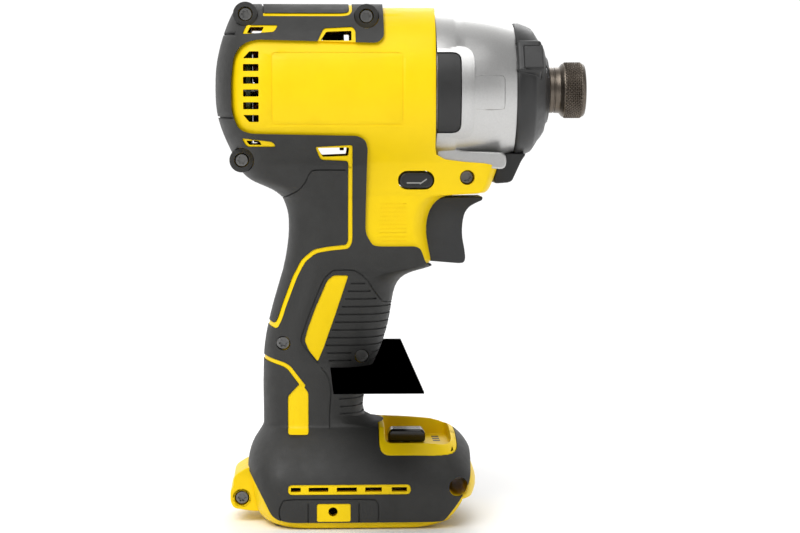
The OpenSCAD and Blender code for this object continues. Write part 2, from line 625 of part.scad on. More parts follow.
// Rubber rings round the screw bosses of the barrel
ring_bosses = [0, 1, 2];
ring_half_share = 0.55;
rear_boss_half = screw_places[6][2];
module boss_rings(s) for (i = ring_bosses) let(p = screw_places[i], q = at(p))
  cross_rod(q[0], q[1], s < 0 ? -p[2] : ring_half_share * p[2], s < 0 ? -ring_half_share * p[2] : p[2],
    boss_ring_r);
module rubber(s, rings = false) difference() {
  union() {
    intersection() {
      body(0);
      half_space(s);
      side(-far, far) children();
    }
    if (rings) boss_rings(s);
  }
  body(rubber_t);
  screw_pockets();
  if (!rings) for (i = ring_bosses) let(q = at(screw_places[i]))
    cross_rod(q[0], q[1], -far, far, boss_ring_r + seat_gap);
  side(-rear_boss_half - seat_gap, rear_boss_half + seat_gap) offset(delta = seat_gap) soft(soft_r)
    drawn(rear_boss_shares);
  cross_rod(tether_x, tether_z, -far, far, tether_d / 2);
  panel_column(0);
  on_axis(0) case_form(free_gap);
}
module panel_column(g) translate([0, 0, room_z]) linear_extrude(height = foot_h + cut - room_z)
  offset(r = panel_corner)
  square_between(panel_x0 + panel_corner - g, panel_x1 - panel_corner + g,
    panel_half_w - panel_corner + g);
module square_between(x0, x1, half) translate([x0, -half]) square([x1 - x0, 2 * half]);
module grip_right() color("dimgray") rubber(-1) grip_2d();
module grip_left() color("dimgray") rubber(1) grip_2d();
module bumper_right() color("dimgray") rubber(-1, true) bumper_2d();
module bumper_left() color("dimgray") rubber(1, true) bumper_2d();

// Gear case, its pads and the nose bumper
pad_x1_share = 0.153;
pad_half_share = 0.0768;
pad_in = 2.4;
pad_soft = 3;
pad_drop = 1.1;
module pad_2d(g) translate([0, axis_h - pad_drop]) offset(r = pad_soft, $fn = 24)
  square_mid(case_x + pad_soft, pad_x1_share * tool_l - pad_soft + g, pad_half_share * tool_h - pad_soft + g);
// Raised rim round the pads, tile in front of it and flange over the bridge
rim_x1_share = 0.187;
rim_half_share = 0.0875;
rim_soft = 5;
module rim_2d() translate([0, axis_h - pad_drop]) offset(r = rim_soft, $fn = 24)
  square_mid(0, rim_x1_share * tool_l - rim_soft, rim_half_share * tool_h - rim_soft);
tile_x1_share = 0.2725;
tile_half_share = 0.0352;
tile_soft = 2.2;
tile_rise = 0.7;
module tile_2d() translate([0, axis_h - pad_drop]) offset(r = tile_soft, $fn = 24)
  square_mid(pad_x1_share * tool_l + tile_soft + free_gap, tile_x1_share * tool_l - tile_soft,
    tile_half_share * tool_h - tile_soft);
flange_half_w = 19.2;
flange_shares = [[0.0905, 0.745], [0.0905, 0.716], [0.0985, 0.7025], [0.115, 0.6975], [0.277, 0.6945],
  [0.277, 0.7165], [0.13, 0.72], [0.115, 0.745]];
module flange() difference() {
  side(-flange_half_w, flange_half_w) drawn(flange_shares);
  body(rubber_t - seat_gap);
  translate([0, 0, 2 * seat_gap]) body(rubber_t);
}
module square_mid(x0, x1, half) translate([x0, -half]) square([x1 - x0, 2 * half]);
nose_step = 1.6;
module case_front(g) on_axis(0) rotate_extrude($fn = 96) polygon([[0, case_end_x - cut],
  [case_r_front - nose_step + g, case_end_x - cut], [case_r_front - nose_step + g, case_in_x + g],
  [case_r_front - 2 * nose_step + g, case_in_x + case_wall + g], [0, case_in_x + case_wall + g]]);
module gear_case() color("silver") difference() {
  union() {
    on_axis(0) case_form(0);
    rod(plate_x0, case_x + cut, case_spigot_r);
    case_front(0);
    rod(case_in_x, tube_x, anvil_d / 2 + nose_tube_l, $fn = 96);
    intersection() {
      rod(case_x, case_end_x, case_r_rear, $fn = 96);
      side(-far, far) rim_2d();
    }
    intersection() {
      on_axis(0) case_form(tile_rise);
      side(-far, far) tile_2d();
    }
    flange();
  }
  rod(plate_x0 - cut, case_in_x, ring_d / 2 + seat_gap);
  rod(plate_x0, tube_x + cut, bush_r + seat_gap);
  difference() {
    side(-far, far) pad_2d(seat_gap);
    rod(x_back, x_tip, case_r_rear - pad_in);
  }
}
bush_wall = 2.2;
bush_r = anvil_d / 2 + bush_wall;
pad_sink = 0.3;
module case_pads() color("dimgray") difference() {
  intersection() {
    rod(case_x + seat_gap, case_end_x, case_r_rear - pad_sink, $fn = 96);
    side(-far, far) pad_2d(0);
  }
  rod(x_back, x_tip, case_r_rear - pad_in + seat_gap);
}
led_r = 14.4;
led_lens_d = 4;
led_count = 3;
chin_shares = [[0.283, 0.712], [0.338, 0.712], [0.324, 0.698], [0.299, 0.659], [0.289, 0.6555], [0.265,
  0.6535]];
chin_half_w = 9;
pod_half_w = 6.6;
pod_rise = 0.9;
pod_l = 9.2;
nose_mid_drop = 1.4;
nose_slope_drop = 5;
nose_low_drop = 8.1;
nose_face_drop = 12.1;
nose_mid_r = case_r_front - nose_mid_drop;
nose_low_r = case_r_front - nose_low_drop;
nose_lip = 0.4;
nose_lip_front = 0.6;
nose_lip_l = 2;
nose_mid_l = 2.7;
nose_slope_r = case_r_front - nose_slope_drop;
nose_slope_l = 4.9;
nose_edge_l = 1.8;
nose_face_r = case_r_front - nose_face_drop;
led_room = 4;
module nose_bumper() color("dimgray") difference() {
  union() {
    on_axis(0) rotate_extrude($fn = 96) polygon([[case_r_front - nose_step + seat_gap,
      case_end_x + seat_gap],
      [case_r_front + nose_lip, case_end_x + seat_gap],
      [case_r_front + nose_lip_front, case_end_x + nose_lip_l],
      [nose_mid_r, case_in_x + nose_mid_l], [nose_slope_r, case_in_x + nose_slope_l],
      [nose_low_r, nose_x - nose_edge_l], [nose_face_r, nose_x],
      [anvil_d / 2 + nose_tube_l + seat_gap, nose_x],
      [anvil_d / 2 + nose_tube_l + seat_gap, case_in_x + case_wall + seat_gap],
      [case_r_front - 2 * nose_step, case_in_x + case_wall + seat_gap],
      [case_r_front - nose_step + seat_gap, case_in_x + seat_gap]]);
    difference() {
      for (i = [1:led_count - 1]) on_axis(case_end_x + seat_gap) rotate(i * 360 / led_count)
        translate([led_r, -pod_half_w, 0]) cube([case_r_front + pod_rise - led_r, 2 * pod_half_w, pod_l]);
      case_front(seat_gap);
    }
    difference() {
      side(-chin_half_w, chin_half_w) drawn(chin_shares);
      rod(x_back, x_tip, case_r_front + seat_gap);
      on_axis(0) case_form(seat_gap);
      body(rubber_t - free_gap);
    }
  }
  sleeve(case_in_x + case_wall, case_in_x + case_wall + board_t + 4 * seat_gap, led_r + led_lens_d / 2,
    anvil_d / 2 + nose_tube_l - cut);
  for (i = [0:led_count - 1]) on_axis(0) rotate(i * 360 / led_count) translate([led_r - cut, 0,
    case_in_x + case_wall])
    cylinder(d = led_lens_d + 2 * seat_gap, h = led_room + case_wall + nose_tube_l);
}
module led_lenses() color("white") for (i = [0:led_count - 1]) on_axis(0) rotate(i * 360 / led_count)
  translate([led_r - cut, 0, case_in_x + case_wall + board_t + 3 * seat_gap]) cylinder(d = led_lens_d,
    h = led_room - cut);
module led_board() color("green") sleeve(case_in_x + case_wall + 2 * seat_gap,
  case_in_x + case_wall + 2 * seat_gap + board_t, led_r + led_lens_d / 2 - seat_gap,
  anvil_d / 2 + nose_tube_l + 2 * seat_gap);
module nose_bushing() color("goldenrod") sleeve(case_in_x + seat_gap, tube_x, bush_r,
  anvil_d / 2 + run_gap);
module anvil_washer() color("white") sleeve(case_in_x - washer_t + seat_gap, case_in_x - seat_gap,
  wing_hub_r,
  anvil_d / 2 + run_gap);

// Gear box
module ring_gear() color("silver") on_axis(gear_x0 - free_gap) difference() {
  cylinder(d = ring_d, h = gear_w + 2 * free_gap);
  translate([0, 0, -cut]) linear_extrude(height = gear_w + 2 * free_gap + 2 * cut) ring_space_2d();
}
bearing_lip = 2;
module gearbox_plate() color("dimgray") difference() {
  rod(plate_x0, plate_x1, ring_d / 2);
  rod(plate_x0 - cut, plate_x0 + bearing_w + 2 * seat_gap, bearing_d / 2 + seat_gap);
  rod(plate_x0, plate_x1 + cut, bearing_d / 2 - bearing_lip);
}
module carrier_bearing() color("silver") sleeve(carrier_x0, carrier_x1, ring_d / 2, carrier_r + run_gap);
module front_motor_bearing() color("silver") sleeve(plate_x0 + seat_gap,
  plate_x0 + bearing_w + seat_gap, bearing_d / 2,
  shaft_d / 2 + run_gap);
module rear_motor_bearing() color("silver") sleeve(rear_bearing_x + seat_gap,
  rear_bearing_x + bearing_w, bearing_d / 2,
  shaft_d / 2 + run_gap);

// Motor
stator_slots = 6;
yoke = 4.4;
tooth_w = 6;
tooth_tip = 1.4;
module stator_2d() {
  difference() {
    circle(d = stator_d);
    circle(r = stator_d / 2 - yoke);
  }
  for (i = [0:stator_slots - 1]) rotate(i * 360 / stator_slots) difference() {
    union() {
      translate([0, -tooth_w / 2]) square([stator_d / 2 - yoke / 2, tooth_w]);
      intersection() {
        circle(r = rotor_d / 2 + air_gap + tooth_tip);
        translate([0, -tooth_w * 0.8]) square([stator_d / 2, tooth_w * 1.6]);
      }
    }
    circle(r = rotor_d / 2 + air_gap);
  }
}
module stator_core() color("slategray") on_axis(stator_x0) linear_extrude(height = stator_l) stator_2d();
coil_in = 1.7;
coil_r0 = rotor_d / 2 + air_gap + tooth_tip + seat_gap;
coil_half = tooth_w / 2 + coil_in;
coil_r1 = sqrt(pow(stator_d / 2 - yoke - seat_gap, 2) - pow(coil_half, 2));
module stator_windings() color("peru") for (i = [0:stator_slots - 1]) on_axis(winding_x0)
  rotate(i * 360 / stator_slots)
  difference() {
    translate([coil_r0, -coil_half, 0])
      cube([coil_r1 - coil_r0, 2 * coil_half, stator_l + 2 * winding_end]);
    translate([0, -tooth_w / 2 - seat_gap, winding_end - seat_gap])
      cube([stator_d, tooth_w + 2 * seat_gap, stator_l + 2 * seat_gap]);
  }
sensor_in = 14;
module sensor_board() color("green") sleeve(board_seat_x + seat_gap, board_seat_x + board_t, stator_d / 2,
  sensor_in);
pinion_r0 = per_tooth_d * (sun_teeth / 2 - root_share);
module motor_shaft() color("silver") union() {
  rod(rear_bearing_x + cut, plate_x0 + bearing_w + cut, shaft_d / 2);
  rod(plate_x0 + bearing_w + 2 * seat_gap, gear_x0, pinion_r0);
  on_axis(gear_x0 - free_gap) linear_extrude(height = gear_w + free_gap) gear_2d(sun_teeth);
}
magnet_count = 4;
magnet_t = 2.4;
magnet_w = 9.6;
magnet_r = 6.6;
module rotor_core() color("gray") on_axis(stator_x0) difference() {
  cylinder(d = rotor_d, h = stator_l);
  translate([0, 0, -cut]) cylinder(r = shaft_d / 2 + seat_gap / 2, h = stator_l + 2 * cut);
  for (i = [0:magnet_count - 1]) rotate(i * 360 / magnet_count) translate([magnet_r,
    -magnet_w / 2 - seat_gap / 2, -cut])
    cube([magnet_t + seat_gap, magnet_w + seat_gap, stator_l + 2 * cut]);
}
module rotor_magnets() color("dimgray") for (i = [0:magnet_count - 1]) on_axis(stator_x0)
  rotate(i * 360 / magnet_count)
  translate([magnet_r + seat_gap / 2, -magnet_w / 2, 0]) cube([magnet_t, magnet_w, stator_l]);
fan_hub_r = 6;
fan_plate = 1.4;
blade_t = 1.2;
blade_in = 10;
module cooling_fan() color("dimgray") on_axis(fan_x0) difference() {
  union() {
    cylinder(r = fan_hub_r, h = fan_w);
    translate([0, 0, fan_w - fan_plate]) cylinder(d = fan_d, h = fan_plate);
    for (i = [0:fan_blades - 1]) rotate(i * 360 / fan_blades) translate([blade_in, -blade_t / 2, 0])
      cube([fan_d / 2 - blade_in - blade_t, blade_t, fan_w - fan_plate / 2]);
  }
  translate([0, 0, -cut]) cylinder(r = shaft_d / 2 + seat_gap / 2, h = fan_w + 2 * cut);
}

// Planet carrier with the cam shaft
carrier_rim = 2.4;
carrier_r = gear_centre + pin_d / 2 + carrier_rim;
pilot_d = 6;
pilot_l = 4;
cam_ball_x_setback = 5;
cam_ball_x = hammer_x1 - cam_ball_x_setback;
cam_ball_out = 0.2;
cam_ball_r_at = cam_d / 2 + cam_ball_out;
groove_gap = 0.2;
module cam_groove(a0, a1) hull() {
  rotate(a0) translate([cam_ball_r_at, 0, cam_ball_x]) sphere(d = cam_ball_d + 2 * groove_gap, $fn = 24);
  rotate(a1) translate([cam_ball_r_at, 0, cam_ball_x - hammer_travel])
    sphere(d = cam_ball_d + 2 * groove_gap, $fn = 24);
}
module cam_shaft() color("silver") difference() {
  union() {
    rod(carrier_x0, carrier_x1, carrier_r);
    rod(carrier_x1 - cut, wing_x - lug_gap / 2, cam_d / 2);
    rod(wing_x - cut, wing_x + pilot_l - free_gap, pilot_d / 2);
  }
  for (i = [0:2]) on_axis(carrier_x0 - cut) rotate(i * planet_step) translate([gear_centre, 0, 0])
    cylinder(r = pin_d / 2 + seat_gap / 2, h = carrier_t + 2 * cut);
  rod(carrier_x0 - cut, carrier_x0 + cut, per_tooth_d * (sun_teeth / 2 + tip_share) + free_gap);
  for (a = [0, 180]) on_axis(0) {
    cam_groove(a, a - hammer_turn);
    cam_groove(a, a + hammer_turn);
  }
}
module planet_pins() color("lightgray") for (i = [0:2]) on_axis(gear_x0 + free_gap)
  rotate(i * planet_step)
  translate([gear_centre, 0, 0]) cylinder(d = pin_d, h = carrier_x1 - gear_x0 - 2 * free_gap);
module planet_gear(i) color("silver") on_axis(gear_x0) rotate(i * planet_step) translate([gear_centre,
  0, 0]) difference() {
  rotate(180 / planet_teeth) linear_extrude(height = gear_w) gear_2d(planet_teeth);
  translate([0, 0, -cut]) cylinder(r = pin_d / 2 + run_gap, h = gear_w + 2 * cut);
}
module planet_gear_1() planet_gear(0);
module planet_gear_2() planet_gear(1);
module planet_gear_3() planet_gear(2);

// Hammer with its spring, thrust washer and balls
spring_r = 13.4;
spring_turns = 4;
cavity_in = 10.8;
cavity_out = 16.4;
cavity_depth = 14.6;
cavity_x = hammer_x0 + cavity_depth;
thrust_ball_d = 2.4;
thrust_count = 18;
thrust_washer_t = 1.5;
thrust_x1 = cavity_x - thrust_ball_d - 2 * seat_gap;
thrust_x0 = thrust_x1 - thrust_washer_t;
module hammer_spring() color("slategray") on_axis(carrier_x1 + seat_gap) coil(spring_r, spring_wire,
  thrust_x0 - carrier_x1 - 2 * seat_gap, spring_turns);
module thrust_washer() color("silver") sleeve(thrust_x0, thrust_x1, cavity_out - free_gap,
  cavity_in + free_gap);
module thrust_balls() color("lightgray") for (i = [0:thrust_count - 1])
  on_axis(thrust_x1 + seat_gap + thrust_ball_d / 2)
  rotate(i * 360 / thrust_count) translate([(cavity_in + cavity_out) / 2, 0, 0])
    sphere(d = thrust_ball_d, $fn = 24);
lug_in = 10;
lead_angle = 2;
module sector_2d(r0, r1, a0, a1) difference() {
  intersection() {
    circle(r = r1);
    polygon(concat([[0, 0]], [for (k = [0:2]) let(a = a0 + (a1 - a0) * k / 2) 2 * r1 * [cos(a),
      sin(a)]]));
  }
  circle(r = r0);
}
module hammer() color("dimgray") difference() {
  union() {
    rod(hammer_x0, hammer_x1, hammer_d / 2);
    on_axis(hammer_x1 - cut) linear_extrude(height = lug_h + cut) for (a = [0, 180]) rotate(a)
      sector_2d(lug_in, hammer_d / 2 - free_gap, -lug_angle / 2, lug_angle / 2);
  }
  rod(hammer_x0 - cut, hammer_x1 + cut, cam_d / 2 + run_gap);
  sleeve(hammer_x0 - cut, cavity_x, cavity_out, cavity_in);
  for (a = [0, 180]) on_axis(0) rotate(a) translate([cam_ball_r_at, 0, cam_ball_x])
    sphere(d = cam_ball_d + 2 * seat_gap);
}
module cam_balls() color("lightgray") for (a = [0, 180]) on_axis(0) rotate(a) translate([cam_ball_r_at,
  0, cam_ball_x])
  sphere(d = cam_ball_d);

// Anvil with hex socket, detent balls and the bit collar
wing_hub_r = 9;
wing_angle = 44;
wing_r = 19.4;
wing_mid = lug_angle / 2 + wing_angle / 2 + lead_angle;
anvil_end = x_tip - cut;
detent_d = 3.2;
detent_r = 4.25;
collar_step = 1.8;
shoulder_t = 2;
detent_x = collar_x + collar_step + shoulder_t / 2;
groove_x_setback = 2.8;
stop_x = x_tip - groove_x_setback;
stop_t = 1;
stop_groove = 0.7;
cup_wall = 0.8;
cup_r = collar_neck_d / 2 - cup_wall;
module anvil() color("dimgray") difference() {
  union() {
    rod(wing_x, anvil_end, anvil_d / 2);
    rod(wing_x, wing_x + wing_t, wing_hub_r);
    on_axis(wing_x) linear_extrude(height = wing_t) for (a = [0, 180]) rotate(a + wing_mid)
      sector_2d(wing_hub_r - cut, wing_r, -wing_angle / 2, wing_angle / 2);
  }
  rod(wing_x - cut, wing_x + pilot_l, pilot_d / 2 + run_gap);
  on_axis(anvil_end - hex_depth) rotate(30) cylinder(d = hex_af / cos(30), h = hex_depth + cut, $fn = 6);
  for (a = [90, 270]) on_axis(0) rotate(a) translate([0, 0, detent_x]) rotate([0, 90, 0])
    cylinder(r = detent_d / 2 + run_gap, h = anvil_d);
  sleeve(stop_x, stop_x + stop_t + seat_gap, anvil_d, anvil_d / 2 - stop_groove);
}
module detent_balls() color("lightgray") for (a = [90, 270]) on_axis(0) rotate(a) translate([detent_r,
  0, detent_x])
  sphere(d = detent_d);
collar_wire = 0.8;
collar_turns = 3;
collar_spring_gap = 0.5;
module collar_spring() color("silver") on_axis(collar_x + collar_step + shoulder_t + seat_gap)
  coil(anvil_d / 2 + collar_wire / 2 + collar_spring_gap, collar_wire,
    stop_x - collar_x - collar_step - shoulder_t - 2 * seat_gap, collar_turns);
module collar_stop() color("silver") sleeve(stop_x + seat_gap / 2, stop_x + stop_t + seat_gap / 2,
  cup_r - free_gap,
  anvil_d / 2 - stop_groove + seat_gap / 2);
collar_flare_share = 0.45;
collar_neck_share = 0.29;
collar_lip = 1.6;
module bit_collar() color("dimgray") on_axis(collar_x) difference() {
  rotate_extrude($fn = 96) polygon([[0, 0], [collar_neck_d / 2, 0], [collar_neck_d / 2,
    collar_neck_share * collar_l],
    [collar_d / 2, collar_flare_share * collar_l], [collar_d / 2, collar_l - collar_lip],
    [collar_d / 2 - collar_lip / 2, collar_l], [0, collar_l]]);
  translate([0, 0, -cut]) cylinder(r = anvil_d / 2 + cut, h = collar_step + cut);
  cylinder(r = anvil_d / 2 + run_gap, h = collar_l);
  translate([0, 0, collar_step + shoulder_t]) cylinder(r = cup_r, h = collar_l);
}

// Trigger, switch and direction change
module trigger() color("dimgray") difference() {
  union() {
    side(-trigger_w / 2, trigger_w / 2) soft(soft_r / 2) drawn(trigger_shares);
    block(trigger_back, stem_x + cut, -trigger_w / 2 + stem_inset, trigger_w / 2 - stem_inset,
      trigger_low + stem_inset, trigger_top - stem_inset);
  }
  translate([trigger_back - cut, 0, plunger_z]) rotate([0, 90, 0])
    cylinder(r = trigger_spring_r + trigger_spring_wire / 2 + free_gap, h = spring_pocket + cut);
  translate([trigger_back, 0, plunger_z]) rotate([0, 90, 0])
    cylinder(r = plunger_d / 2 + seat_gap / 2, h = spring_pocket + plunger_in);
}
module trigger_plunger() color("silver") translate([switch_x1 - plunger_in, 0, plunger_z]) rotate([0,
  90, 0])
  cylinder(d = plunger_d, h = trigger_back + spring_pocket + plunger_in - cut - switch_x1 + plunger_in);
trigger_turns = 7;
module trigger_spring() color("silver") translate([switch_x1 + seat_gap, 0, plunger_z]) rotate([0, 90, 0])
  coil(trigger_spring_r, trigger_spring_wire, trigger_back + spring_pocket - switch_x1 - 2 * seat_gap,
    trigger_turns);
module trigger_switch() color("dimgray") difference() {
  block(switch_x0, switch_x1, -switch_half_w, switch_half_w, switch_z0, switch_z1);
  translate([switch_x1 - plunger_in - trigger_travel - cut, 0, plunger_z]) rotate([0, 90, 0])
    cylinder(r = plunger_d / 2 + run_gap, h = far);
  translate([lever_x, 0, switch_z1 - lever_pin_l - cut]) cylinder(r = lever_pin_r + run_gap, h = far);
}
module reverse_button() color("dimgray") difference() {
  side(-button_half, button_half) translate([button_x, button_z]) stadium(button_l, button_h);
  block(button_x - lever_slot_l, button_x + lever_slot_l, -lever_slot_half, lever_slot_half,
    button_z - button_h, button_z + free_gap);
}
module reverse_lever() color("gray") union() {
  translate([lever_x, 0, switch_z1 - lever_pin_l]) cylinder(r = lever_pin_r,
    h = lever_pin_l + free_gap + lever_t);
  translate([lever_x, 0, switch_z1 + free_gap]) cylinder(r = 2 * lever_pin_r, h = lever_t);
  block(lever_x, button_x, -lever_pin_r, lever_pin_r, switch_z1 + free_gap,
    switch_z1 + free_gap + lever_t);
  translate([button_x, 0, switch_z1 + free_gap]) cylinder(r = lever_pin_r, h = lever_t);
  translate([button_x, 0, switch_z1 + free_gap]) cylinder(r = lever_post_r,
    h = button_z - switch_z1 - free_gap - cut);
}

// Foot electronics and battery contacts
module_x0_share = -0.33;
module_x1_share = -0.1;
module_half_w = 21;
module_h = 11;
module control_module() color("dimgray") block(module_x0_share * tool_l, module_x1_share * tool_l,
  -module_half_w,
  module_half_w, room_z, room_z + module_h);
terminal_x0_share = -0.3;
terminal_x1_share = -0.12;
terminal_half_w = 17;
terminal_h = 7.4;
blade_count = 4;
blade_pitch = 8.4;
blade_th = 0.8;
blade_h = 5;
blade_l = 13;
module terminal_block() color("dimgray") difference() {
  block(terminal_x0_share * tool_l, terminal_x1_share * tool_l, -terminal_half_w, terminal_half_w,
    bay_h - terminal_h, bay_h);
  blades(seat_gap / 2);
}
module blades(g) for (i = [0:blade_count - 1]) let(y = (i - (blade_count - 1) / 2) * blade_pitch)
  block(terminal_x1_share * tool_l - blade_l / 2 - g, terminal_x1_share * tool_l + blade_l,
    y - blade_th / 2 - g,
    y + blade_th / 2 + g, bay_h - terminal_h / 2 - blade_h / 2 - g,
      bay_h - terminal_h / 2 + blade_h / 2 + g);
module terminal_blades() color("goldenrod") blades(0);

// Mode selector on the foot
module mode_panel() color("gold") difference() {
  intersection() {
    body(0);
    panel_column(-seat_gap);
  }
  difference() {
    body(rubber_t);
    block(slider_x - tray_half_l, slider_x + tray_half_l, -tray_half_w, tray_half_w, tray_z, far);
  }
  block(slider_x - pocket_half_l, slider_x + pocket_half_l, -pocket_half_w, pocket_half_w, pocket_z, far);
  block(slider_x - peg_w / 2 - free_gap, slider_x + peg_w / 2 + free_gap,
    -mode_travel / 2 - peg_w / 2 - free_gap,
    mode_travel / 2 + peg_w / 2 + free_gap, tray_z - cut, far);
  block(-far, far, -far, far, -far, tray_z);
}
module mode_slider() color("dimgray") union() {
  block(slider_x - slider_l / 2, slider_x + slider_l / 2, slider_y - slider_w / 2,
    slider_y + slider_w / 2,
    pocket_z + free_gap, pocket_z + free_gap + slider_rise);
  block(slider_x - peg_w / 2, slider_x + peg_w / 2, slider_y - peg_w / 2, slider_y + peg_w / 2,
    tray_z + seat_gap, pocket_z + cut);
}
module mode_board() color("green") block(slider_x - tray_half_l, slider_x + tray_half_l, -tray_half_w,
  tray_half_w,
  tray_z - board_t - seat_gap, tray_z - seat_gap);
insert_l = 4.4;
insert_depth = 1.1;
insert_y1 = foot_w / 2 - insert_depth;
insert_y0 = insert_y1 - insert_l;
module belt_hook_inserts() color("goldenrod") for (s = [-1, 1]) difference() {
  cross_rod(hook_x, hook_z, s < 0 ? -insert_y1 : insert_y0, s < 0 ? -insert_y0 : insert_y1, insert_d / 2);
  cross_rod(hook_x, hook_z, -far, far, insert_bore_d / 2);
}

// Screws, heads on the right side
socket_d = 2.8;
socket_deep = 1.2;
module housing_screws() color("dimgray") for (p = screw_places) let(q = at(p)) difference() {
  union() {
    cross_rod(q[0], q[1], -p[2] + head_in, -p[2] + head_in + screw_head_h - seat_gap, screw_head_d / 2);
    cross_rod(q[0], q[1], -p[2] + head_in, screw_reach, screw_d / 2);
  }
  translate([q[0], -p[2] + head_in + socket_deep, q[1]]) rotate([90, 0, 0]) cylinder(d = socket_d,
    h = screw_head_h, $fn = 6);
}

// Leads from the control module to the motor and the switch
lead_d = 2.2;
lead_pitch = 3.4;
motor_route_shares = [[-0.26, 0.13], [-0.258, 0.25], [-0.255, 0.4], [-0.245, 0.55], [-0.25, 0.62],
  [-0.265, 0.65], [-0.295, 0.67], [-0.345, 0.69], [-0.372, 0.7], [-0.381, 0.708]];
switch_route_shares = [[-0.17, 0.13], [-0.175, 0.25], [-0.17, 0.36], [-0.13, 0.45], [-0.11, 0.508]];
function routed(shares, y, z0, z1) = let(n = len(shares) - 1) [for (i = [0:n]) [shares[i][0] * tool_l, y,
  i == 0 ? z0 : i == n ? z1 : shares[i][1] * tool_h]];
module motor_leads() color("firebrick") for (i = [-1:1]) lead(routed(motor_route_shares,
  i * lead_pitch, room_z + module_h,
  axis_h - coil_r1 - seat_gap), lead_d / 2);
module switch_leads() color("dimgray") for (i = [-1, 1]) lead(routed(switch_route_shares,
  i * lead_pitch, room_z + module_h,
  switch_z0), lead_d / 2);

housing_right();
housing_left();
grip_right();
grip_left();
bumper_right();
bumper_left();
gear_case();
case_pads();
nose_bumper();
led_lenses();
led_board();
nose_bushing();
anvil_washer();
ring_gear();
gearbox_plate();
carrier_bearing();
front_motor_bearing();
rear_motor_bearing();
stator_core();
stator_windings();
sensor_board();
trigger_switch();
control_module();
terminal_block();
terminal_blades();
mode_panel();
mode_board();
belt_hook_inserts();
housing_screws();
motor_leads();
switch_leads();
motor_shaft();
rotor_core();
rotor_magnets();
cooling_fan();
cam_shaft();
planet_pins();
planet_gear_1();
planet_gear_2();
planet_gear_3();
hammer_spring();
thrust_washer();
thrust_balls();
hammer();
cam_balls();
anvil();
detent_balls();
collar_spring();
collar_stop();
bit_collar();
trigger();
trigger_plunger();
trigger_spring();
reverse_button();
reverse_lever();
mode_slider();
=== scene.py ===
import json
import math
import bpy
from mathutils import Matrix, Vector


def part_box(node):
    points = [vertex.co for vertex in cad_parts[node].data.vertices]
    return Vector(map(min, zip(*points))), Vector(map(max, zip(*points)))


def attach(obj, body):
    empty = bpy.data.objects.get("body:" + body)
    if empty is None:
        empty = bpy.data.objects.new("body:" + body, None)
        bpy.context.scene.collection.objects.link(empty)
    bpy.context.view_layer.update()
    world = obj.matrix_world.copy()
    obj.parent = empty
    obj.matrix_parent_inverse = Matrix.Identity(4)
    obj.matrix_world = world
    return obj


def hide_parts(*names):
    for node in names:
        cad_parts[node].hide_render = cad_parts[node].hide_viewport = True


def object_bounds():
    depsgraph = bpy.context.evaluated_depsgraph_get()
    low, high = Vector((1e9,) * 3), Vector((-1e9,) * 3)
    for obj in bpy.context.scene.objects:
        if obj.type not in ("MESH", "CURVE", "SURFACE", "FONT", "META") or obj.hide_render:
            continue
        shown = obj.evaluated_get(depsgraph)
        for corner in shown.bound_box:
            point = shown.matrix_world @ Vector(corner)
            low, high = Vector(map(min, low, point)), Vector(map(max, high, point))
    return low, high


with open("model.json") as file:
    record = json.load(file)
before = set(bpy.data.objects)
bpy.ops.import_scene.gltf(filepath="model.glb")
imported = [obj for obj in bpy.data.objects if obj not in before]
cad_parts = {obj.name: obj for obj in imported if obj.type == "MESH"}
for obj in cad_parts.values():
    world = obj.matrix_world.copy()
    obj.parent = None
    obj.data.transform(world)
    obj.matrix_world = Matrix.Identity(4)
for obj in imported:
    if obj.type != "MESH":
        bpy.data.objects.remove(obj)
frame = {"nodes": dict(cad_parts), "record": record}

cad_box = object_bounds()
record = frame["record"]

# Driving sizes in millimetres, taken from the frame
MM = 0.001
low, high = [Vector(corner) / MM for corner in cad_box]
tool_l = high.x - low.x
axis_h = record["behaviour"]["joints"][0]["pos_m"][2] / MM
foot_h = 34.6
foot_w = high.y - low.y
handle_w = 34.0
barrel_w = 60.0
barrel_rise = 31.0
tool_h = axis_h + barrel_rise
barrel_drop = 30.5
rubber_t = 1.3
wall = 2.6
far = 90.0
overrun = 1.0

# Body sections as [height, rear, front, half width, rear round, front round, squareness, lift]
foot_shares = [
    [0, -0.356, 0.107, 0.955, 0.55, 0.5, 3, 0], [0.046, -0.389, 0.153, 0.985, 0.55, 0.5, 3, 0],
    [0.13, -0.404, 0.179, 1, 0.55, 0.5, 3, 0], [0.26, -0.412, 0.201, 1, 0.55, 0.5, 3, 0],
    [0.39, -0.416, 0.213, 1, 0.55, 0.5, 3, 0], [0.491, -0.416, 0.21, 0.991, 0.55, 0.5, 3, 0],
    [0.607, -0.416, 0.2, 0.945, 0.55, 0.5, 2.8, -0.4], [0.723, -0.41, 0.19, 0.855, 0.6, 0.55, 2.6, -0.8],
    [0.824, -0.399, 0.175, 0.758, 0.65, 0.6, 2.5, -1], [0.91, -0.384, 0.153, 0.661, 0.75, 0.7, 2.4, -1],
    [0.965, -0.376, 0.129, 0.582, 0.85, 0.8, 2.3, -1], [1, -0.373, 0.101, 0.521, 0.95, 0.9, 2.2, -1]]
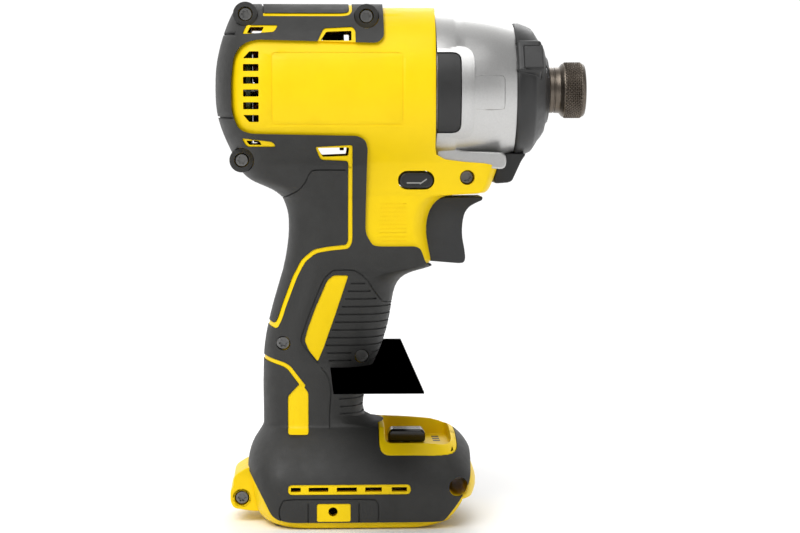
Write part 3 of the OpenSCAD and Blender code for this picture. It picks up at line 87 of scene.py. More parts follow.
handle_shares = [
    [0.004, -0.373, -0.099, 0.982, 0.95, 0.9, 2.2, -1], [0.07, -0.373, -0.104, 0.959, 0.95, 0.9, 2.2, 0],
    [0.125, -0.374, -0.098, 0.953, 0.95, 0.9, 2.2, 0], [0.179, -0.374, -0.09, 0.959, 0.95, 0.9, 2.2, 0],
    [0.218, -0.373, -0.081, 0.965, 0.95, 0.9, 2.2, 0], [0.261, -0.373, -0.067, 0.976, 0.95, 0.9, 2.2, 0],
    [0.313, -0.371, -0.052, 0.988, 0.95, 0.9, 2.2, 0], [0.376, -0.364, -0.037, 1, 0.95, 0.9, 2.2, 0],
    [0.442, -0.354, -0.028, 1, 0.95, 0.9, 2.2, 0], [0.497, -0.344, -0.023, 1, 0.95, 0.9, 2.2, 0],
    [0.551, -0.333, -0.016, 1, 0.95, 0.9, 2.2, 0.2], [0.586, -0.326, 0, 0.994, 0.95, 0.9, 2.3, 0.7],
    [0.606, -0.322, 0.024, 0.988, 0.95, 0.85, 2.4, 0.7], [0.619, -0.319, 0.053, 0.988, 0.95, 0.75, 2.5, 0.7],
    [0.63, -0.318, 0.081, 0.988, 0.95, 0.65, 2.6, 0.7], [0.642, -0.316, 0.096, 0.988, 0.95, 0.6, 2.6, 0.5],
    [0.661, -0.313, 0.098, 0.994, 0.95, 0.6, 2.6, 0.2], [0.694, -0.309, 0.093, 1, 0.95, 0.6, 2.6, 0],
    [0.748, -0.304, 0.086, 1, 0.95, 0.6, 2.6, 0], [0.792, -0.303, 0.084, 1, 0.95, 0.6, 2.6, 0],
    [0.841, -0.304, 0.089, 1.006, 0.95, 0.6, 2.6, 0], [0.875, -0.311, 0.101, 1.018, 0.95, 0.6, 2.6, 0.3],
    [0.897, -0.317, 0.124, 1.024, 0.95, 0.6, 2.6, 1], [0.905, -0.32, 0.152, 1.029, 0.95, 0.6, 2.7, 1],
    [0.909, -0.322, 0.234, 1.035, 0.95, 0.28, 2.8, 1], [0.917, -0.327, 0.244, 1.047, 0.95, 0.28, 2.8, 1],
    [0.938, -0.345, 0.252, 1.065, 0.9, 0.28, 2.8, 1], [0.958, -0.378, 0.257, 1.088, 0.85, 0.28, 2.8, 1],
    [0.976, -0.407, 0.262, 1.118, 0.8, 0.28, 2.8, 1]]
barrel_shares = [
    [-0.974, -0.427, 0.267, 0.653, 0.75, 0.28, 2.8, 0.8], [-0.92, -0.436, 0.272, 0.672, 0.72, 0.28, 2.8, 0.7],
    [-0.87, -0.441, 0.277, 0.69, 0.7, 0.28, 2.8, 0.6], [-0.85, -0.443, 0.099, 0.7, 0.69, 0.03, 2.7, 0.6],
    [-0.694, -0.46, 0.099, 0.807, 0.64, 0.03, 2.6, 0.4], [-0.532, -0.478, 0.099, 0.903, 0.62, 0.03, 2.6, 0.2],
    [-0.339, -0.493, 0.099, 0.967, 0.62, 0.03, 2.6, 0], [-0.177, -0.499, 0.099, 0.993, 0.62, 0.03, 2.6, 0],
    [0.016, -0.5, 0.099, 1, 0.62, 0.03, 2.6, 0], [0.242, -0.499, 0.099, 0.983, 0.62, 0.03, 2.6, 0],
    [0.435, -0.491, 0.099, 0.933, 0.62, 0.03, 2.6, -0.2], [0.597, -0.481, 0.099, 0.857, 0.64, 0.03, 2.6, -0.4],
    [0.758, -0.468, 0.099, 0.733, 0.68, 0.03, 2.6, -0.6], [0.887, -0.455, 0.099, 0.553, 0.75, 0.03, 2.5, -0.8],
    [0.968, -0.443, 0.099, 0.383, 0.85, 0.03, 2.4, -0.9], [1, -0.433, 0.099, 0.267, 0.95, 0.03, 2.3, -1]]

# Side outlines as shares of the tool's length and height
bumper_shares = [
    (-0.6, 1.1), (-0.051, 1.1), (-0.051, 0.934), (-0.068, 0.923), (-0.39, 0.929), (-0.425, 0.92), (-0.446, 0.898),
    (-0.453, 0.852), (-0.452, 0.792), (-0.435, 0.76), (-0.405, 0.751), (-0.12, 0.747), (-0.1, 0.739),
    (-0.094, 0.724), (-0.094, 0.69), (-0.6, 0.69)]
grip_shares = [
    (-0.6, 0.69), (-0.094, 0.69), (-0.099, 0.56), (-0.079, 0.536), (-0.058, 0.534), (0.035, 0.534), (0.05, 0.529),
    (0.067, 0.495), (0.2, 0.485), (0.3, 0.19), (0.19, 0.16), (0.182, 0.12), (0.178, 0.09), (0.145, 0.05),
    (0.115, 0.022), (0.105, 0.0135), (-0.3, 0.0135), (-0.335, 0.018), (-0.351, 0.027), (-0.372, 0.057),
    (-0.39, 0.08), (-0.412, 0.104), (-0.6, 0.104)]
overmould_shares = bumper_shares[:-2] + grip_shares[2:]
seam_z_share = 0.69
palm_line_shares = [
    (-0.139, 0.6925), (-0.139, 0.545), (-0.146, 0.534), (-0.199, 0.53), (-0.234, 0.525), (-0.264, 0.507),
    (-0.287, 0.475), (-0.317, 0.417), (-0.327, 0.394), (-0.338, 0.378), (-0.359, 0.384), (-0.45, 0.377)]
heel_line_shares = [
    (-0.45, 0.322), (-0.371, 0.316), (-0.317, 0.306), (-0.303, 0.3), (-0.271, 0.27), (-0.262, 0.262)]
wedge_shares = [
    (-0.184, 0.479), (-0.143, 0.479), (-0.179, 0.402), (-0.21, 0.339), (-0.226, 0.311), (-0.25, 0.333),
    (-0.262, 0.353), (-0.253, 0.377), (-0.233, 0.416), (-0.201, 0.469)]
tab_shares = [(-0.272, 0.272), (-0.251, 0.252), (-0.251, 0.172), (-0.307, 0.172), (-0.307, 0.245)]
slot_frame_shares = [
    [(-0.424, 0.939), (-0.413, 0.957), (-0.328, 0.957), (-0.339, 0.943)],
    [(-0.231, 0.918), (-0.21, 0.951), (-0.133, 0.954), (-0.125, 0.946), (-0.125, 0.918)],
    [(-0.427, 0.743), (-0.413, 0.726), (-0.334, 0.726), (-0.344, 0.736)],
    [(-0.233, 0.726), (-0.1335, 0.73), (-0.1327, 0.684), (-0.1453, 0.684), (-0.1453, 0.6985), (-0.218, 0.701)]]
slot_hole_shares = [
    [(-0.411, 0.941), (-0.403, 0.953), (-0.366, 0.953), (-0.374, 0.941)],
    [(-0.218, 0.927), (-0.202, 0.944), (-0.136, 0.946), (-0.136, 0.927)],
    [(-0.414, 0.738), (-0.406, 0.73), (-0.372, 0.73), (-0.38, 0.738)],
    [(-0.226, 0.724), (-0.142, 0.725), (-0.145, 0.709), (-0.212, 0.707)]]


def at(share):
    return share[0] * tool_l, share[1] * tool_h


def placed(shares):
    return [at(share) for share in shares]


def body_rows(t):
    """Rows of the body in millimetres, moved inward by t."""
    rows = []
    for shares, base, rise, half in (
            (foot_shares, 0, foot_h, foot_w / 2),
            (handle_shares, foot_h, axis_h - barrel_drop - foot_h, handle_w / 2),
            (barrel_shares, axis_h, barrel_rise, barrel_w / 2)):
        for s in shares:
            rows.append((base + s[0] * rise + s[7] * t, s[1] * tool_l + t, s[2] * tool_l - t, s[3] * half - t,
                         s[4], s[5], s[6]))
    return rows


# Handwork on meshes
def pick(*objects):
    bpy.ops.object.select_all(action="DESELECT")
    for o in objects:
        o.select_set(True)
    bpy.context.view_layer.objects.active = objects[0]


def new_piece(name):
    piece = bpy.context.active_object
    piece.name = name
    piece.data.name = name
    return piece


def edit(piece, *steps):
    """Runs edit-mode steps on the whole of a piece."""
    pick(piece)
    bpy.ops.object.mode_set(mode="EDIT")
    bpy.ops.mesh.select_all(action="SELECT")
    for step in steps:
        step()
    bpy.ops.object.mode_set(mode="OBJECT")
    return piece


def tidy_mesh(piece, merge=0.01):
    return edit(piece, lambda: bpy.ops.mesh.remove_doubles(threshold=merge * MM),
                lambda: bpy.ops.mesh.dissolve_degenerate(threshold=merge * MM / 2),
                lambda: bpy.ops.mesh.normals_make_consistent(inside=False))


def modified(piece, kind, **settings):
    pick(piece)
    m = piece.modifiers.new(kind.lower(), kind)
    for key, value in settings.items():
        setattr(m, key, value)
    bpy.ops.object.modifier_apply(modifier=m.name)
    return piece


def joined(pieces):
    pick(*pieces)
    if len(pieces) > 1:
        bpy.ops.object.join()
    return pieces[0]


def copied(piece):
    pick(piece)
    bpy.ops.object.duplicate()
    return bpy.context.active_object


def carved(piece, cutter, how="DIFFERENCE", keep=False, own=False):
    modified(piece, "BOOLEAN", object=cutter, operation=how, solver="EXACT", use_self=own)
    if not keep:
        bpy.data.objects.remove(cutter)
    return piece


def loft(name, rows, quarter=12, levels=1):
    """Body skin through the rows, from a grid rolled round them."""
    rim = 0.5
    first, last = rows[0], rows[-1]
    inner = lambda r: (r[0], r[1] + rim, r[2] - rim, r[3] - rim) + r[4:]
    rows = [inner(first)] + rows + [inner(last)]
    around = 4 * quarter
    bpy.ops.mesh.primitive_grid_add(x_subdivisions=around, y_subdivisions=len(rows) - 1, size=1)
    skin = new_piece(name)
    bend = lambda v, n: abs(v) ** (2 / n)
    for k, r in enumerate(rows):
        z, rear, front, half, rear_round, front_round, n = r
        ring = []
        for j in range(around + 1):
            a = 2 * math.pi * (j + 0.5) / around
            c, s = math.cos(a), math.sin(a)
            rx = (front_round if c > 0 else rear_round) * half
            end = front if c > 0 else rear
            x = end - rx * (1 - bend(c, n)) if c > 0 else end + rx * (1 - bend(c, n))
            ring.append((x, math.copysign(half * bend(s, n), s)))
        for j, (x, y) in enumerate(ring):
            skin.data.vertices[k * (around + 1) + j].co = (x * MM, y * MM, z * MM)
    tidy_mesh(skin, 0.001)
    edit(skin, lambda: bpy.ops.mesh.fill_holes(sides=0),
         lambda: bpy.ops.mesh.normals_make_consistent(inside=False))
    if levels:
        modified(skin, "SUBSURF", levels=levels, render_levels=levels)
    return skin


def softened(points, r, steps=4):
    """Outline with its corners turned into short curves of about radius r, or of one radius each."""
    out = []
    count = len(points)
    radii = r if isinstance(r, list) else [r] * count
    for i, p in enumerate(points):
        p = Vector(p)
        a = Vector(points[i - 1]) - p
        b = Vector(points[(i + 1) % count]) - p
        d = min(radii[i], 0.45 * a.length, 0.45 * b.length)
        if d < 0.02:
            out.append(p)
            continue
        p0, p1 = p + a.normalized() * d, p + b.normalized() * d
        for k in range(steps + 1):
            t = k / steps
            out.append(p0 * (1 - t) ** 2 + p * 2 * t * (1 - t) + p1 * t * t)
    return [tuple(p) for p in out]


def ribbon(points, width):
    """Outline of a band of that width along an open line."""
    left, right = [], []
    for i, p in enumerate(points):
        p = Vector(p)
        before = (p - Vector(points[i - 1])).normalized() if i else None
        after = (Vector(points[i + 1]) - p).normalized() if i + 1 < len(points) else None
        d = (before + after).normalized() if before and after else before or after
        stretch = 1 / max(0.5, d.dot(after or before))
        n = Vector((-d.y, d.x)) * width / 2 * stretch
        left.append(tuple(p + n))
        right.append(tuple(p - n))
    return left + right[::-1]


def flowing(points, steps=5):
    """Open line drawn as a smooth curve through its points."""
    line = [Vector(p) for p in points]
    line = [2 * line[0] - line[1]] + line + [2 * line[-1] - line[-2]]
    out = []
    for a, b, c, d in zip(line, line[1:], line[2:], line[3:]):
        for k in range(steps):
            t = k / steps
            out.append(tuple(0.5 * (2 * b + (c - a) * t + (2 * a - 5 * b + 4 * c - d) * t ** 2
                                    + (3 * b - a - 3 * c + d) * t ** 3)))
    return out + [tuple(line[-2])]


def drawn_in(points, d):
    """Closed outline moved inward by d."""
    turn = sum(a[0] * b[1] - b[0] * a[1] for a, b in zip(points, points[1:] + points[:1]))
    way = math.copysign(1, turn)
    out = []
    for i, p in enumerate(points):
        a = (Vector(p) - Vector(points[i - 1])).normalized()
        b = (Vector(points[(i + 1) % len(points)]) - Vector(p)).normalized()
        side = Vector((-a.y, a.x)) * way
        n = (side + Vector((-b.y, b.x)) * way).normalized()
        out.append(tuple(Vector(p) + n * d / max(0.5, n.dot(side))))
    return out


def prism(name, points, y0, y1):
    """Side outline of (x, z) points, drawn out from y0 to y1."""
    bpy.ops.mesh.primitive_circle_add(vertices=len(points), fill_type="NGON")
    piece = new_piece(name)
    for v, (x, z) in zip(piece.data.vertices, points):
        v.co = (x * MM, y0 * MM, z * MM)
    edit(piece, lambda: bpy.ops.mesh.extrude_region_move(
        TRANSFORM_OT_translate={"value": (0, (y1 - y0) * MM, 0)}))
    return edit(piece, lambda: bpy.ops.mesh.normals_make_consistent(inside=False))


def block(name, x0, x1, y0, y1, z0, z1):
    bpy.ops.mesh.primitive_cube_add(size=1, location=(0, 0, 0))
    piece = new_piece(name)
    for v in piece.data.vertices:
        v.co = ((x1 if v.co.x > 0 else x0) * MM, (y1 if v.co.y > 0 else y0) * MM, (z1 if v.co.z > 0 else z0) * MM)
    return piece


def turned(name, profile, steps=96):
    """Closed (x, r) profile spun about the tool's axis."""
    bpy.ops.mesh.primitive_circle_add(vertices=len(profile), fill_type="NOTHING")
    piece = new_piece(name)
    for v, (x, r) in zip(piece.data.vertices, profile):
        v.co = (x * MM, 0, (axis_h + r) * MM)
    edit(piece, lambda: bpy.ops.mesh.spin(steps=steps, angle=2 * math.pi, center=(0, 0, axis_h * MM), axis=(1, 0, 0)))
    return tidy_mesh(piece, 0.002)


def cross_rod(name, x, z, y0, y1, r, steps=32):
    bpy.ops.mesh.primitive_cylinder_add(vertices=steps, radius=r * MM, depth=(y1 - y0) * MM)
    piece = new_piece(name)
    for v in piece.data.vertices:
        px, py, pz = v.co
        v.co = (x * MM + px, (y0 + y1) / 2 * MM + pz, z * MM - py)
    return edit(piece, lambda: bpy.ops.mesh.normals_make_consistent(inside=False))


def eased(piece, width, angle=35, segments=2, smooth=40):
    """Rounds a piece's sharp edges and shades it smooth."""
    modified(piece, "BEVEL", width=width * MM, segments=segments, limit_method="ANGLE",
             angle_limit=math.radians(angle), use_clamp_overlap=False, miter_outer="MITER_ARC")
    return shaded(piece, smooth)


def shaded(piece, smooth=40):
    pick(piece)
    bpy.ops.object.shade_smooth_by_angle(angle=math.radians(smooth))
    modified(piece, "WEIGHTED_NORMAL", keep_sharp=True, weight=80)
    return piece


# Finishes
def finish(name, build):
    material = bpy.data.materials.new(name)
    material.use_nodes = True
    tree = material.node_tree
    shader = next(n for n in tree.nodes if n.type == "BSDF_PRINCIPLED")
    build(tree, shader)
    return material


def add(tree, kind, **inputs):
    node = tree.nodes.new(kind)
    for key, value in inputs.items():
        node.inputs[key.replace("_", " ")].default_value = value
    return node


def grain(tree, scale, detail=4.0, roughness=0.55):
    place = tree.nodes.new("ShaderNodeTexCoord")
    noise = add(tree, "ShaderNodeTexNoise", Scale=scale, Detail=detail, Roughness=roughness)
    tree.links.new(place.outputs["Object"], noise.inputs["Vector"])
    return noise.outputs["Fac"]


def spread(tree, value, low_value, high_value, start=0.3, end=0.7):
    ramp = tree.nodes.new("ShaderNodeMapRange")
    ramp.inputs["From Min"].default_value = start
    ramp.inputs["From Max"].default_value = end
    ramp.inputs["To Min"].default_value = low_value
    ramp.inputs["To Max"].default_value = high_value
    tree.links.new(value, ramp.inputs["Value"])
    return ramp.outputs["Result"]


def tinted(tree, value, dark, light, start=0.3, end=0.7):
    ramp = tree.nodes.new("ShaderNodeValToRGB")
    ramp.color_ramp.elements[0].position = start
    ramp.color_ramp.elements[1].position = end
    ramp.color_ramp.elements[0].color = (*dark, 1)
    ramp.color_ramp.elements[1].color = (*light, 1)
    tree.links.new(value, ramp.inputs["Fac"])
    return ramp.outputs["Color"]


def pebbled(tree, shader, scale, strength, distance=0.00015, detail=3.0):
    bump = add(tree, "ShaderNodeBump", Strength=strength, Distance=distance)
    tree.links.new(grain(tree, scale, detail), bump.inputs["Height"])
    tree.links.new(bump.outputs["Normal"], shader.inputs["Normal"])
    return bump


def moulded(name, dark, light, rough, grain_scale, strength, shine=0.5):
    def build(tree, shader):
        tree.links.new(tinted(tree, grain(tree, 90), dark, light), shader.inputs["Base Color"])
        tree.links.new(spread(tree, grain(tree, 260), rough - 0.05, rough + 0.06), shader.inputs["Roughness"])
        pebbled(tree, shader, grain_scale, strength)
        shader.inputs["Specular IOR Level"].default_value = shine
    return finish(name, build)


def metal(name, dark, light, rough, grain_scale, strength, scale=140):
    def build(tree, shader):
        shader.inputs["Metallic"].default_value = 1.0
        tree.links.new(tinted(tree, grain(tree, scale), dark, light), shader.inputs["Base Color"])
        tree.links.new(spread(tree, grain(tree, 1800), rough - 0.05, rough + 0.06), shader.inputs["Roughness"])
        pebbled(tree, shader, grain_scale, strength)
    return finish(name, build)


yellow_plastic = moulded("yellow_plastic", (0.87, 0.6, 0.0), (0.91, 0.635, 0.001), 0.42, 2600, 0.12, 0.22)
grip_rubber_black = moulded("grip_rubber_black", (0.017, 0.0168, 0.0155), (0.022, 0.0217, 0.02), 0.58, 2200, 0.35)
nose_black = moulded("nose_black", (0.013, 0.013, 0.013), (0.018, 0.018, 0.018), 0.42, 2600, 0.18)
collar_gunmetal = metal("collar_gunmetal", (0.11, 0.092, 0.075), (0.17, 0.145, 0.12), 0.36, 1500, 0.25)


def lamp_finish(tree, shader):
    tree.links.new(tinted(tree, grain(tree, 300), (0.82, 0.84, 0.86), (0.9, 0.91, 0.92)), shader.inputs["Base Color"])
    tree.links.new(spread(tree, grain(tree, 700), 0.08, 0.16), shader.inputs["Roughness"])
    shader.inputs["Transmission Weight"].default_value = 0.6
    pebbled(tree, shader, 900, 0.05)


lamp_clear = finish("lamp_clear", lamp_finish)
cast_alloy = metal("cast_alloy", (0.52, 0.517, 0.51), (0.56, 0.557, 0.55), 0.38, 2600, 0.15, 1500)

def banded(name, dark, light, rough, pitch, axis, strength, metallic=1.0):
    """Finish with fine bands across one axis, as in stacked sheets, wound wire or turned metal."""
    def build(tree, shader):
        place = tree.nodes.new("ShaderNodeTexCoord")
        wave = add(tree, "ShaderNodeTexWave", Scale=math.pi / 10 / (pitch * MM), Distortion=0.4, Detail=1.0)
        wave.bands_direction = axis
        tree.links.new(place.outputs["Object"], wave.inputs["Vector"])
        tree.links.new(tinted(tree, wave.outputs["Fac"], dark, light, 0.2, 0.8), shader.inputs["Base Color"])
        tree.links.new(spread(tree, grain(tree, 500), rough - 0.05, rough + 0.08), shader.inputs["Roughness"])
        bump = add(tree, "ShaderNodeBump", Strength=strength, Distance=0.0001)
        tree.links.new(wave.outputs["Fac"], bump.inputs["Height"])
        tree.links.new(bump.outputs["Normal"], shader.inputs["Normal"])
        shader.inputs["Metallic"].default_value = metallic
    return finish(name, build)


trigger_grey = moulded("trigger_grey", (0.016, 0.0165, 0.017), (0.021, 0.0215, 0.022), 0.5, 2600, 0.22)
arrow_paint = moulded("arrow_paint", (0.3, 0.3, 0.29), (0.36, 0.36, 0.35), 0.5, 1800, 0.1)
button_black = moulded("button_black", (0.01, 0.01, 0.01), (0.014, 0.014, 0.014), 0.4, 2600, 0.12)
knob_black = moulded("knob_black", (0.006, 0.006, 0.006), (0.009, 0.009, 0.009), 0.16, 1200, 0.03)
screw_black = metal("screw_black", (0.16, 0.16, 0.16), (0.22, 0.218, 0.21), 0.36, 1600, 0.2)
inner_finishes = {
    "board_green": moulded("board_green", (0.006, 0.035, 0.014), (0.009, 0.05, 0.02), 0.35, 900, 0.1),
    "bronze_bush": metal("bronze_bush", (0.42, 0.24, 0.1), (0.55, 0.33, 0.15), 0.4, 2200, 0.35),
    "nylon": moulded("nylon_white", (0.62, 0.61, 0.57), (0.7, 0.69, 0.65), 0.42, 1800, 0.12),
    "bright_steel": metal("bright_steel", (0.56, 0.56, 0.55), (0.66, 0.66, 0.65), 0.26, 1900, 0.12),
    "spring_steel": metal("spring_steel", (0.3, 0.3, 0.31), (0.42, 0.42, 0.42), 0.34, 1500, 0.2),
    "dark_steel": metal("dark_steel", (0.16, 0.155, 0.15), (0.25, 0.245, 0.24), 0.36, 1600, 0.22),
    "lamination": banded("stacked_sheet", (0.2, 0.2, 0.21), (0.38, 0.38, 0.39), 0.42, 0.5, "X", 0.5),
    "copper_wire": banded("wound_copper", (0.36, 0.12, 0.05), (0.72, 0.3, 0.13), 0.32, 0.7, "X", 0.8),
    "magnet": metal("magnet_plated", (0.4, 0.4, 0.41), (0.5, 0.5, 0.5), 0.3, 900, 0.1),
    "grey_plastic": moulded("switch_grey", (0.035, 0.036, 0.038), (0.05, 0.051, 0.053), 0.5, 2200, 0.2),
    "fan_plastic": moulded("fan_black", (0.018, 0.018, 0.019), (0.026, 0.026, 0.027), 0.45, 2000, 0.15),
    "potting": moulded("potting_dark", (0.012, 0.012, 0.013), (0.022, 0.022, 0.023), 0.28, 300, 0.25),
    "contact_metal": metal("contact_brass", (0.66, 0.5, 0.24), (0.78, 0.6, 0.3), 0.28, 1400, 0.12),
    "insert_brass": metal("insert_brass", (0.6, 0.43, 0.17), (0.73, 0.54, 0.24), 0.32, 1400, 0.2),
    "red_lead": moulded("lead_red", (0.42, 0.02, 0.015), (0.5, 0.03, 0.022), 0.42, 1200, 0.15),
    "black_lead": moulded("lead_black", (0.012, 0.012, 0.012), (0.018, 0.018, 0.018), 0.45, 1200, 0.15),
}


def set_finish(piece, material):
    piece.data.materials.clear()
    piece.data.materials.append(material)
    return piece


def on_body(piece, body, material, slot, *nodes):
    set_finish(piece, material)
    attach(piece, body)
    if nodes:
        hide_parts(*nodes)
    return piece


def mirrored(piece, name):
    """Copy of a right piece turned over to the left, with a mesh of its own."""
    other = copied(piece)
    other.name = other.data.name = name
    return edit(other, lambda: bpy.ops.transform.resize(value=(1, -1, 1), center_override=(0, 0, 0)),
                lambda: bpy.ops.mesh.flip_normals())


def half_of(piece, name, side, edge):
    """One side of a body layer, cut at the parting plane with a rounded edge of its own."""
    way = -1 if side == "right" else 1
    half = copied(piece)
    half.name = half.data.name = name + "_" + side
    edit(half, lambda: bpy.ops.mesh.bisect(plane_co=(0, way * parting_gap / 2 * MM, 0), plane_no=(0, way, 0),
                                           use_fill=True, clear_inner=True, clear_outer=False, threshold=1e-6))
    tidy_mesh(half, 0.05)
    return modified(half, "BEVEL", width=edge * MM, segments=2, limit_method="ANGLE", angle_limit=math.radians(35))


# Body: yellow shell under a rubber layer
parting_gap = 0.06
line_w = 1.7
room_z = 12.6
hidden_lap = 0.04
screw_places = [
    (-0.416, 0.9787, 16.5), (-0.095, 0.975, 16.5), (-0.4275, 0.7, 15.5), (0.1735, 0.6667, 15),
    (-0.3185, 0.3467, 13.6), (-0.108, 0.3205, 12.4), (-0.431, 0.0459, 14)]
barrel_bosses = screw_places[:3]
handle_bosses = screw_places[4:6]
open_bosses = [screw_places[3], screw_places[6]]
ring_lip = 1.0
seat_t = 1.4
boss_r = 3.4
boss_ring_r = 4.4
head_pocket_r = 2.7
head_in = 1.2
head_h = 2.2
tether_x, tether_z, tether_r = 0.1444 * tool_l, 0.0795 * tool_h, 3.4
hook_x, hook_z = -0.188 * tool_l, 0.0347 * tool_h
bay_x, bay_h, bay_half, rail_t, rail_half = -0.341 * tool_l, 10.0, 27.5, 3.2, 23.0
strip_shares = [(-0.307, 0.067), (0.018, 0.067), (0.018, 0.0865), (-0.307, 0.0865)]
strip_slot_shares = [(-0.299, -0.273), (-0.252, -0.2), (-0.178, -0.125), (-0.103, -0.059), (-0.033, 0.0075)]
strip_slot_z = (0.0725, 0.081)
hook_pad_shares = [(-0.231, 0.0155), (-0.141, 0.0155), (-0.141, 0.0505), (-0.231, 0.0505)]
rear_boss_shares = [
    (-0.38, 0.106), (-0.416, 0.106), (-0.452, 0.0895), (-0.456, 0.067), (-0.462, 0.0586), (-0.462, 0.0385),
    (-0.453, 0.026), (-0.402, 0.02), (-0.38, 0.02)]
vent_shares = [0.9, 0.876, 0.852, 0.828, 0.804, 0.78]
vent_x0, vent_x1, vent_h = -0.421 * tool_l, -0.38 * tool_l, 2.5
label_shares = [(-0.345, 0.769), (-0.002, 0.769), (-0.002, 0.904), (-0.345, 0.904)]
top_line_shares = [(-0.37, 0.9775), (-0.16, 0.9775), (-0.143, 0.9795), (-0.137, 0.985), (-0.137, 1.02)]
inlay_sink = 0.35
ridge_x = (-8.0, 1.5)
ridge_rows = [102.0 + 1.5 * k for k in range(10)]
step_line = [(0.8, 144.5), (1.6, 142.2), (3.1, 139.9), (6.0, 139.0), (12.6, 138.8)]
button_x, button_z, button_l, button_h = 0.037 * tool_l, 0.6617 * tool_h, 12.4, 6.0
trigger_half, trigger_low, trigger_top = 9.5, 0.499 * tool_h, 0.6285 * tool_h
panel_x0, panel_x1, panel_half, panel_corner = -0.064 * tool_l, 0.146 * tool_l, 27.2, 4.0
panel_front = 9.0
plate_z0 = 22.6
slider_x, tray_half_l, tray_half_w = 0.0137 * tool_l, 8.4, 13.1
case_x, case_spigot_r = 0.0889 * tool_l, 24.0
free_gap = 0.4


# Finger side of the handle, a little lower than the palm band round it
finger_edge = [
    (-3, 88), (-7, 92.5), (-12, 94.9), (-26.5, 93.8), (-30, 92.1), (-32.5, 88.9), (-35.1, 82.1), (-38.5, 72.4),
    (-39.8, 66.7), (-38, 62.7), (-32.8, 56.4), (-29.7, 50.7), (-29.1, 37.6), (-29.1, 30), (-3, 30)]
finger_dip = 0.6
fold_w = 4.5
fold_foot, fold_full, fold_top = 36.0, 46.0, 95.0


def eased_step(t):
    t = min(1, max(0, t))
    return t * t * (3 - 2 * t)


def depth_inside(x, z, outline):
    """Distance of a side point from an outline, zero outside it."""
    inside, nearest = False, far
    for (x0, z0), (x1, z1) in zip(outline, outline[1:] + outline[:1]):
        if (z0 > z) != (z1 > z) and x < x0 + (z - z0) / (z1 - z0) * (x1 - x0):
            inside = not inside
        dx, dz = x1 - x0, z1 - z0
        t = min(1, max(0, ((x - x0) * dx + (z - z0) * dz) / (dx * dx + dz * dz)))
        nearest = min(nearest, math.hypot(x - x0 - t * dx, z - z0 - t * dz))
    return nearest if inside else 0


skin_stock = {}


def skin_at(t, name):
    """Body skin moved inward by t, drawn once for each depth and copied."""
    if t not in skin_stock:
        skin_stock[t] = loft("skin", body_rows(t))
        for v in skin_stock[t].data.vertices:
            x, y, z = v.co / MM
            if fold_foot < z < fold_top:
                dip = finger_dip * eased_step(depth_inside(x, z, finger_edge) / fold_w) * abs(v.normal.y)
                v.co.y -= math.copysign(dip * eased_step((z - fold_foot) / (fold_full - fold_foot)), y) * MM
    skin = copied(skin_stock[t])
    skin.name = skin.data.name = name
    return skin


def window_groups():
    """Outlines where the yellow shell shows through the rubber, in groups that don't cross."""
    plates = [softened(placed(shares), 1.0) for shares in slot_frame_shares]
    plates += [softened(ribbon(placed(top_line_shares), 1.3), 0.8), softened(placed(wedge_shares), 1.0),
               softened(placed(strip_shares), 1.8), softened(placed(hook_pad_shares), 0.8)]
    return [plates, [softened(ribbon(placed(palm_line_shares), line_w), 1.4)],
            [softened(ribbon(placed(heel_line_shares), line_w), 1.4)], [softened(placed(tab_shares), 1.0)]]


def stadium(x, z, length, height, steps=10):
    points = []
    for end, turn in ((1, -90), (-1, 90)):
        for k in range(steps + 1):
            a = math.radians(turn + 180 * k / steps)
            points.append((x + end * (length - height) / 2 + height / 2 * math.cos(a), z + height / 2 * math.sin(a)))
    return points


def through(name, outline, round_r=0.0):
    return prism(name, softened(outline, round_r) if round_r else outline, -far, far)


def column(name, outline, z0, z1):
    """Plan outline of (x, y) points, drawn up from z0 to z1."""
    bpy.ops.mesh.primitive_circle_add(vertices=len(outline), fill_type="NGON")
    piece = new_piece(name)
    for v, (x, y) in zip(piece.data.vertices, outline):
        v.co = (x * MM, y * MM, z0 * MM)
    edit(piece, lambda: bpy.ops.mesh.extrude_region_move(
        TRANSFORM_OT_translate={"value": (0, 0, (z1 - z0) * MM)}))
    return edit(piece, lambda: bpy.ops.mesh.normals_make_consistent(inside=False))


def panel_column(name, grow, z0, z1):
    return column(name, softened(
        [(panel_x0 - grow, -panel_half - grow), (panel_x1 + grow, -panel_half - grow),
         (panel_x1 + grow, panel_half + grow), (panel_x0 - grow, panel_half + grow)],
        [panel_corner, panel_front, panel_front, panel_corner], 6), z0, z1)


case_profile = [(case_x, 28.7), (case_x + 6.4, 28.5), (case_x + 7.6, 27.7), (case_x + 11, 27.4), (case_x + 16.4, 26.8),
                (case_x + 21.6, 25.9), (0.3022 * tool_l, 23.8)]


def case_skin(name, grow, x_end=0.0):
    """Solid form of the gear case, grown all over."""
    line = [(x, r + grow) for x, r in case_profile]
    line = [(line[0][0] - grow, 0.01), (line[0][0] - grow, line[0][1])] + line[1:-1]
    line += [(case_profile[-1][0] + grow + x_end, case_profile[-1][1] + grow), (case_profile[-1][0] + grow + x_end, 0.01)]
    return turned(name, line)


def screw_pockets(y0, y1, r):
    return [cross_rod("pocket", *at(p), y0, y1, r) for p in screw_places]


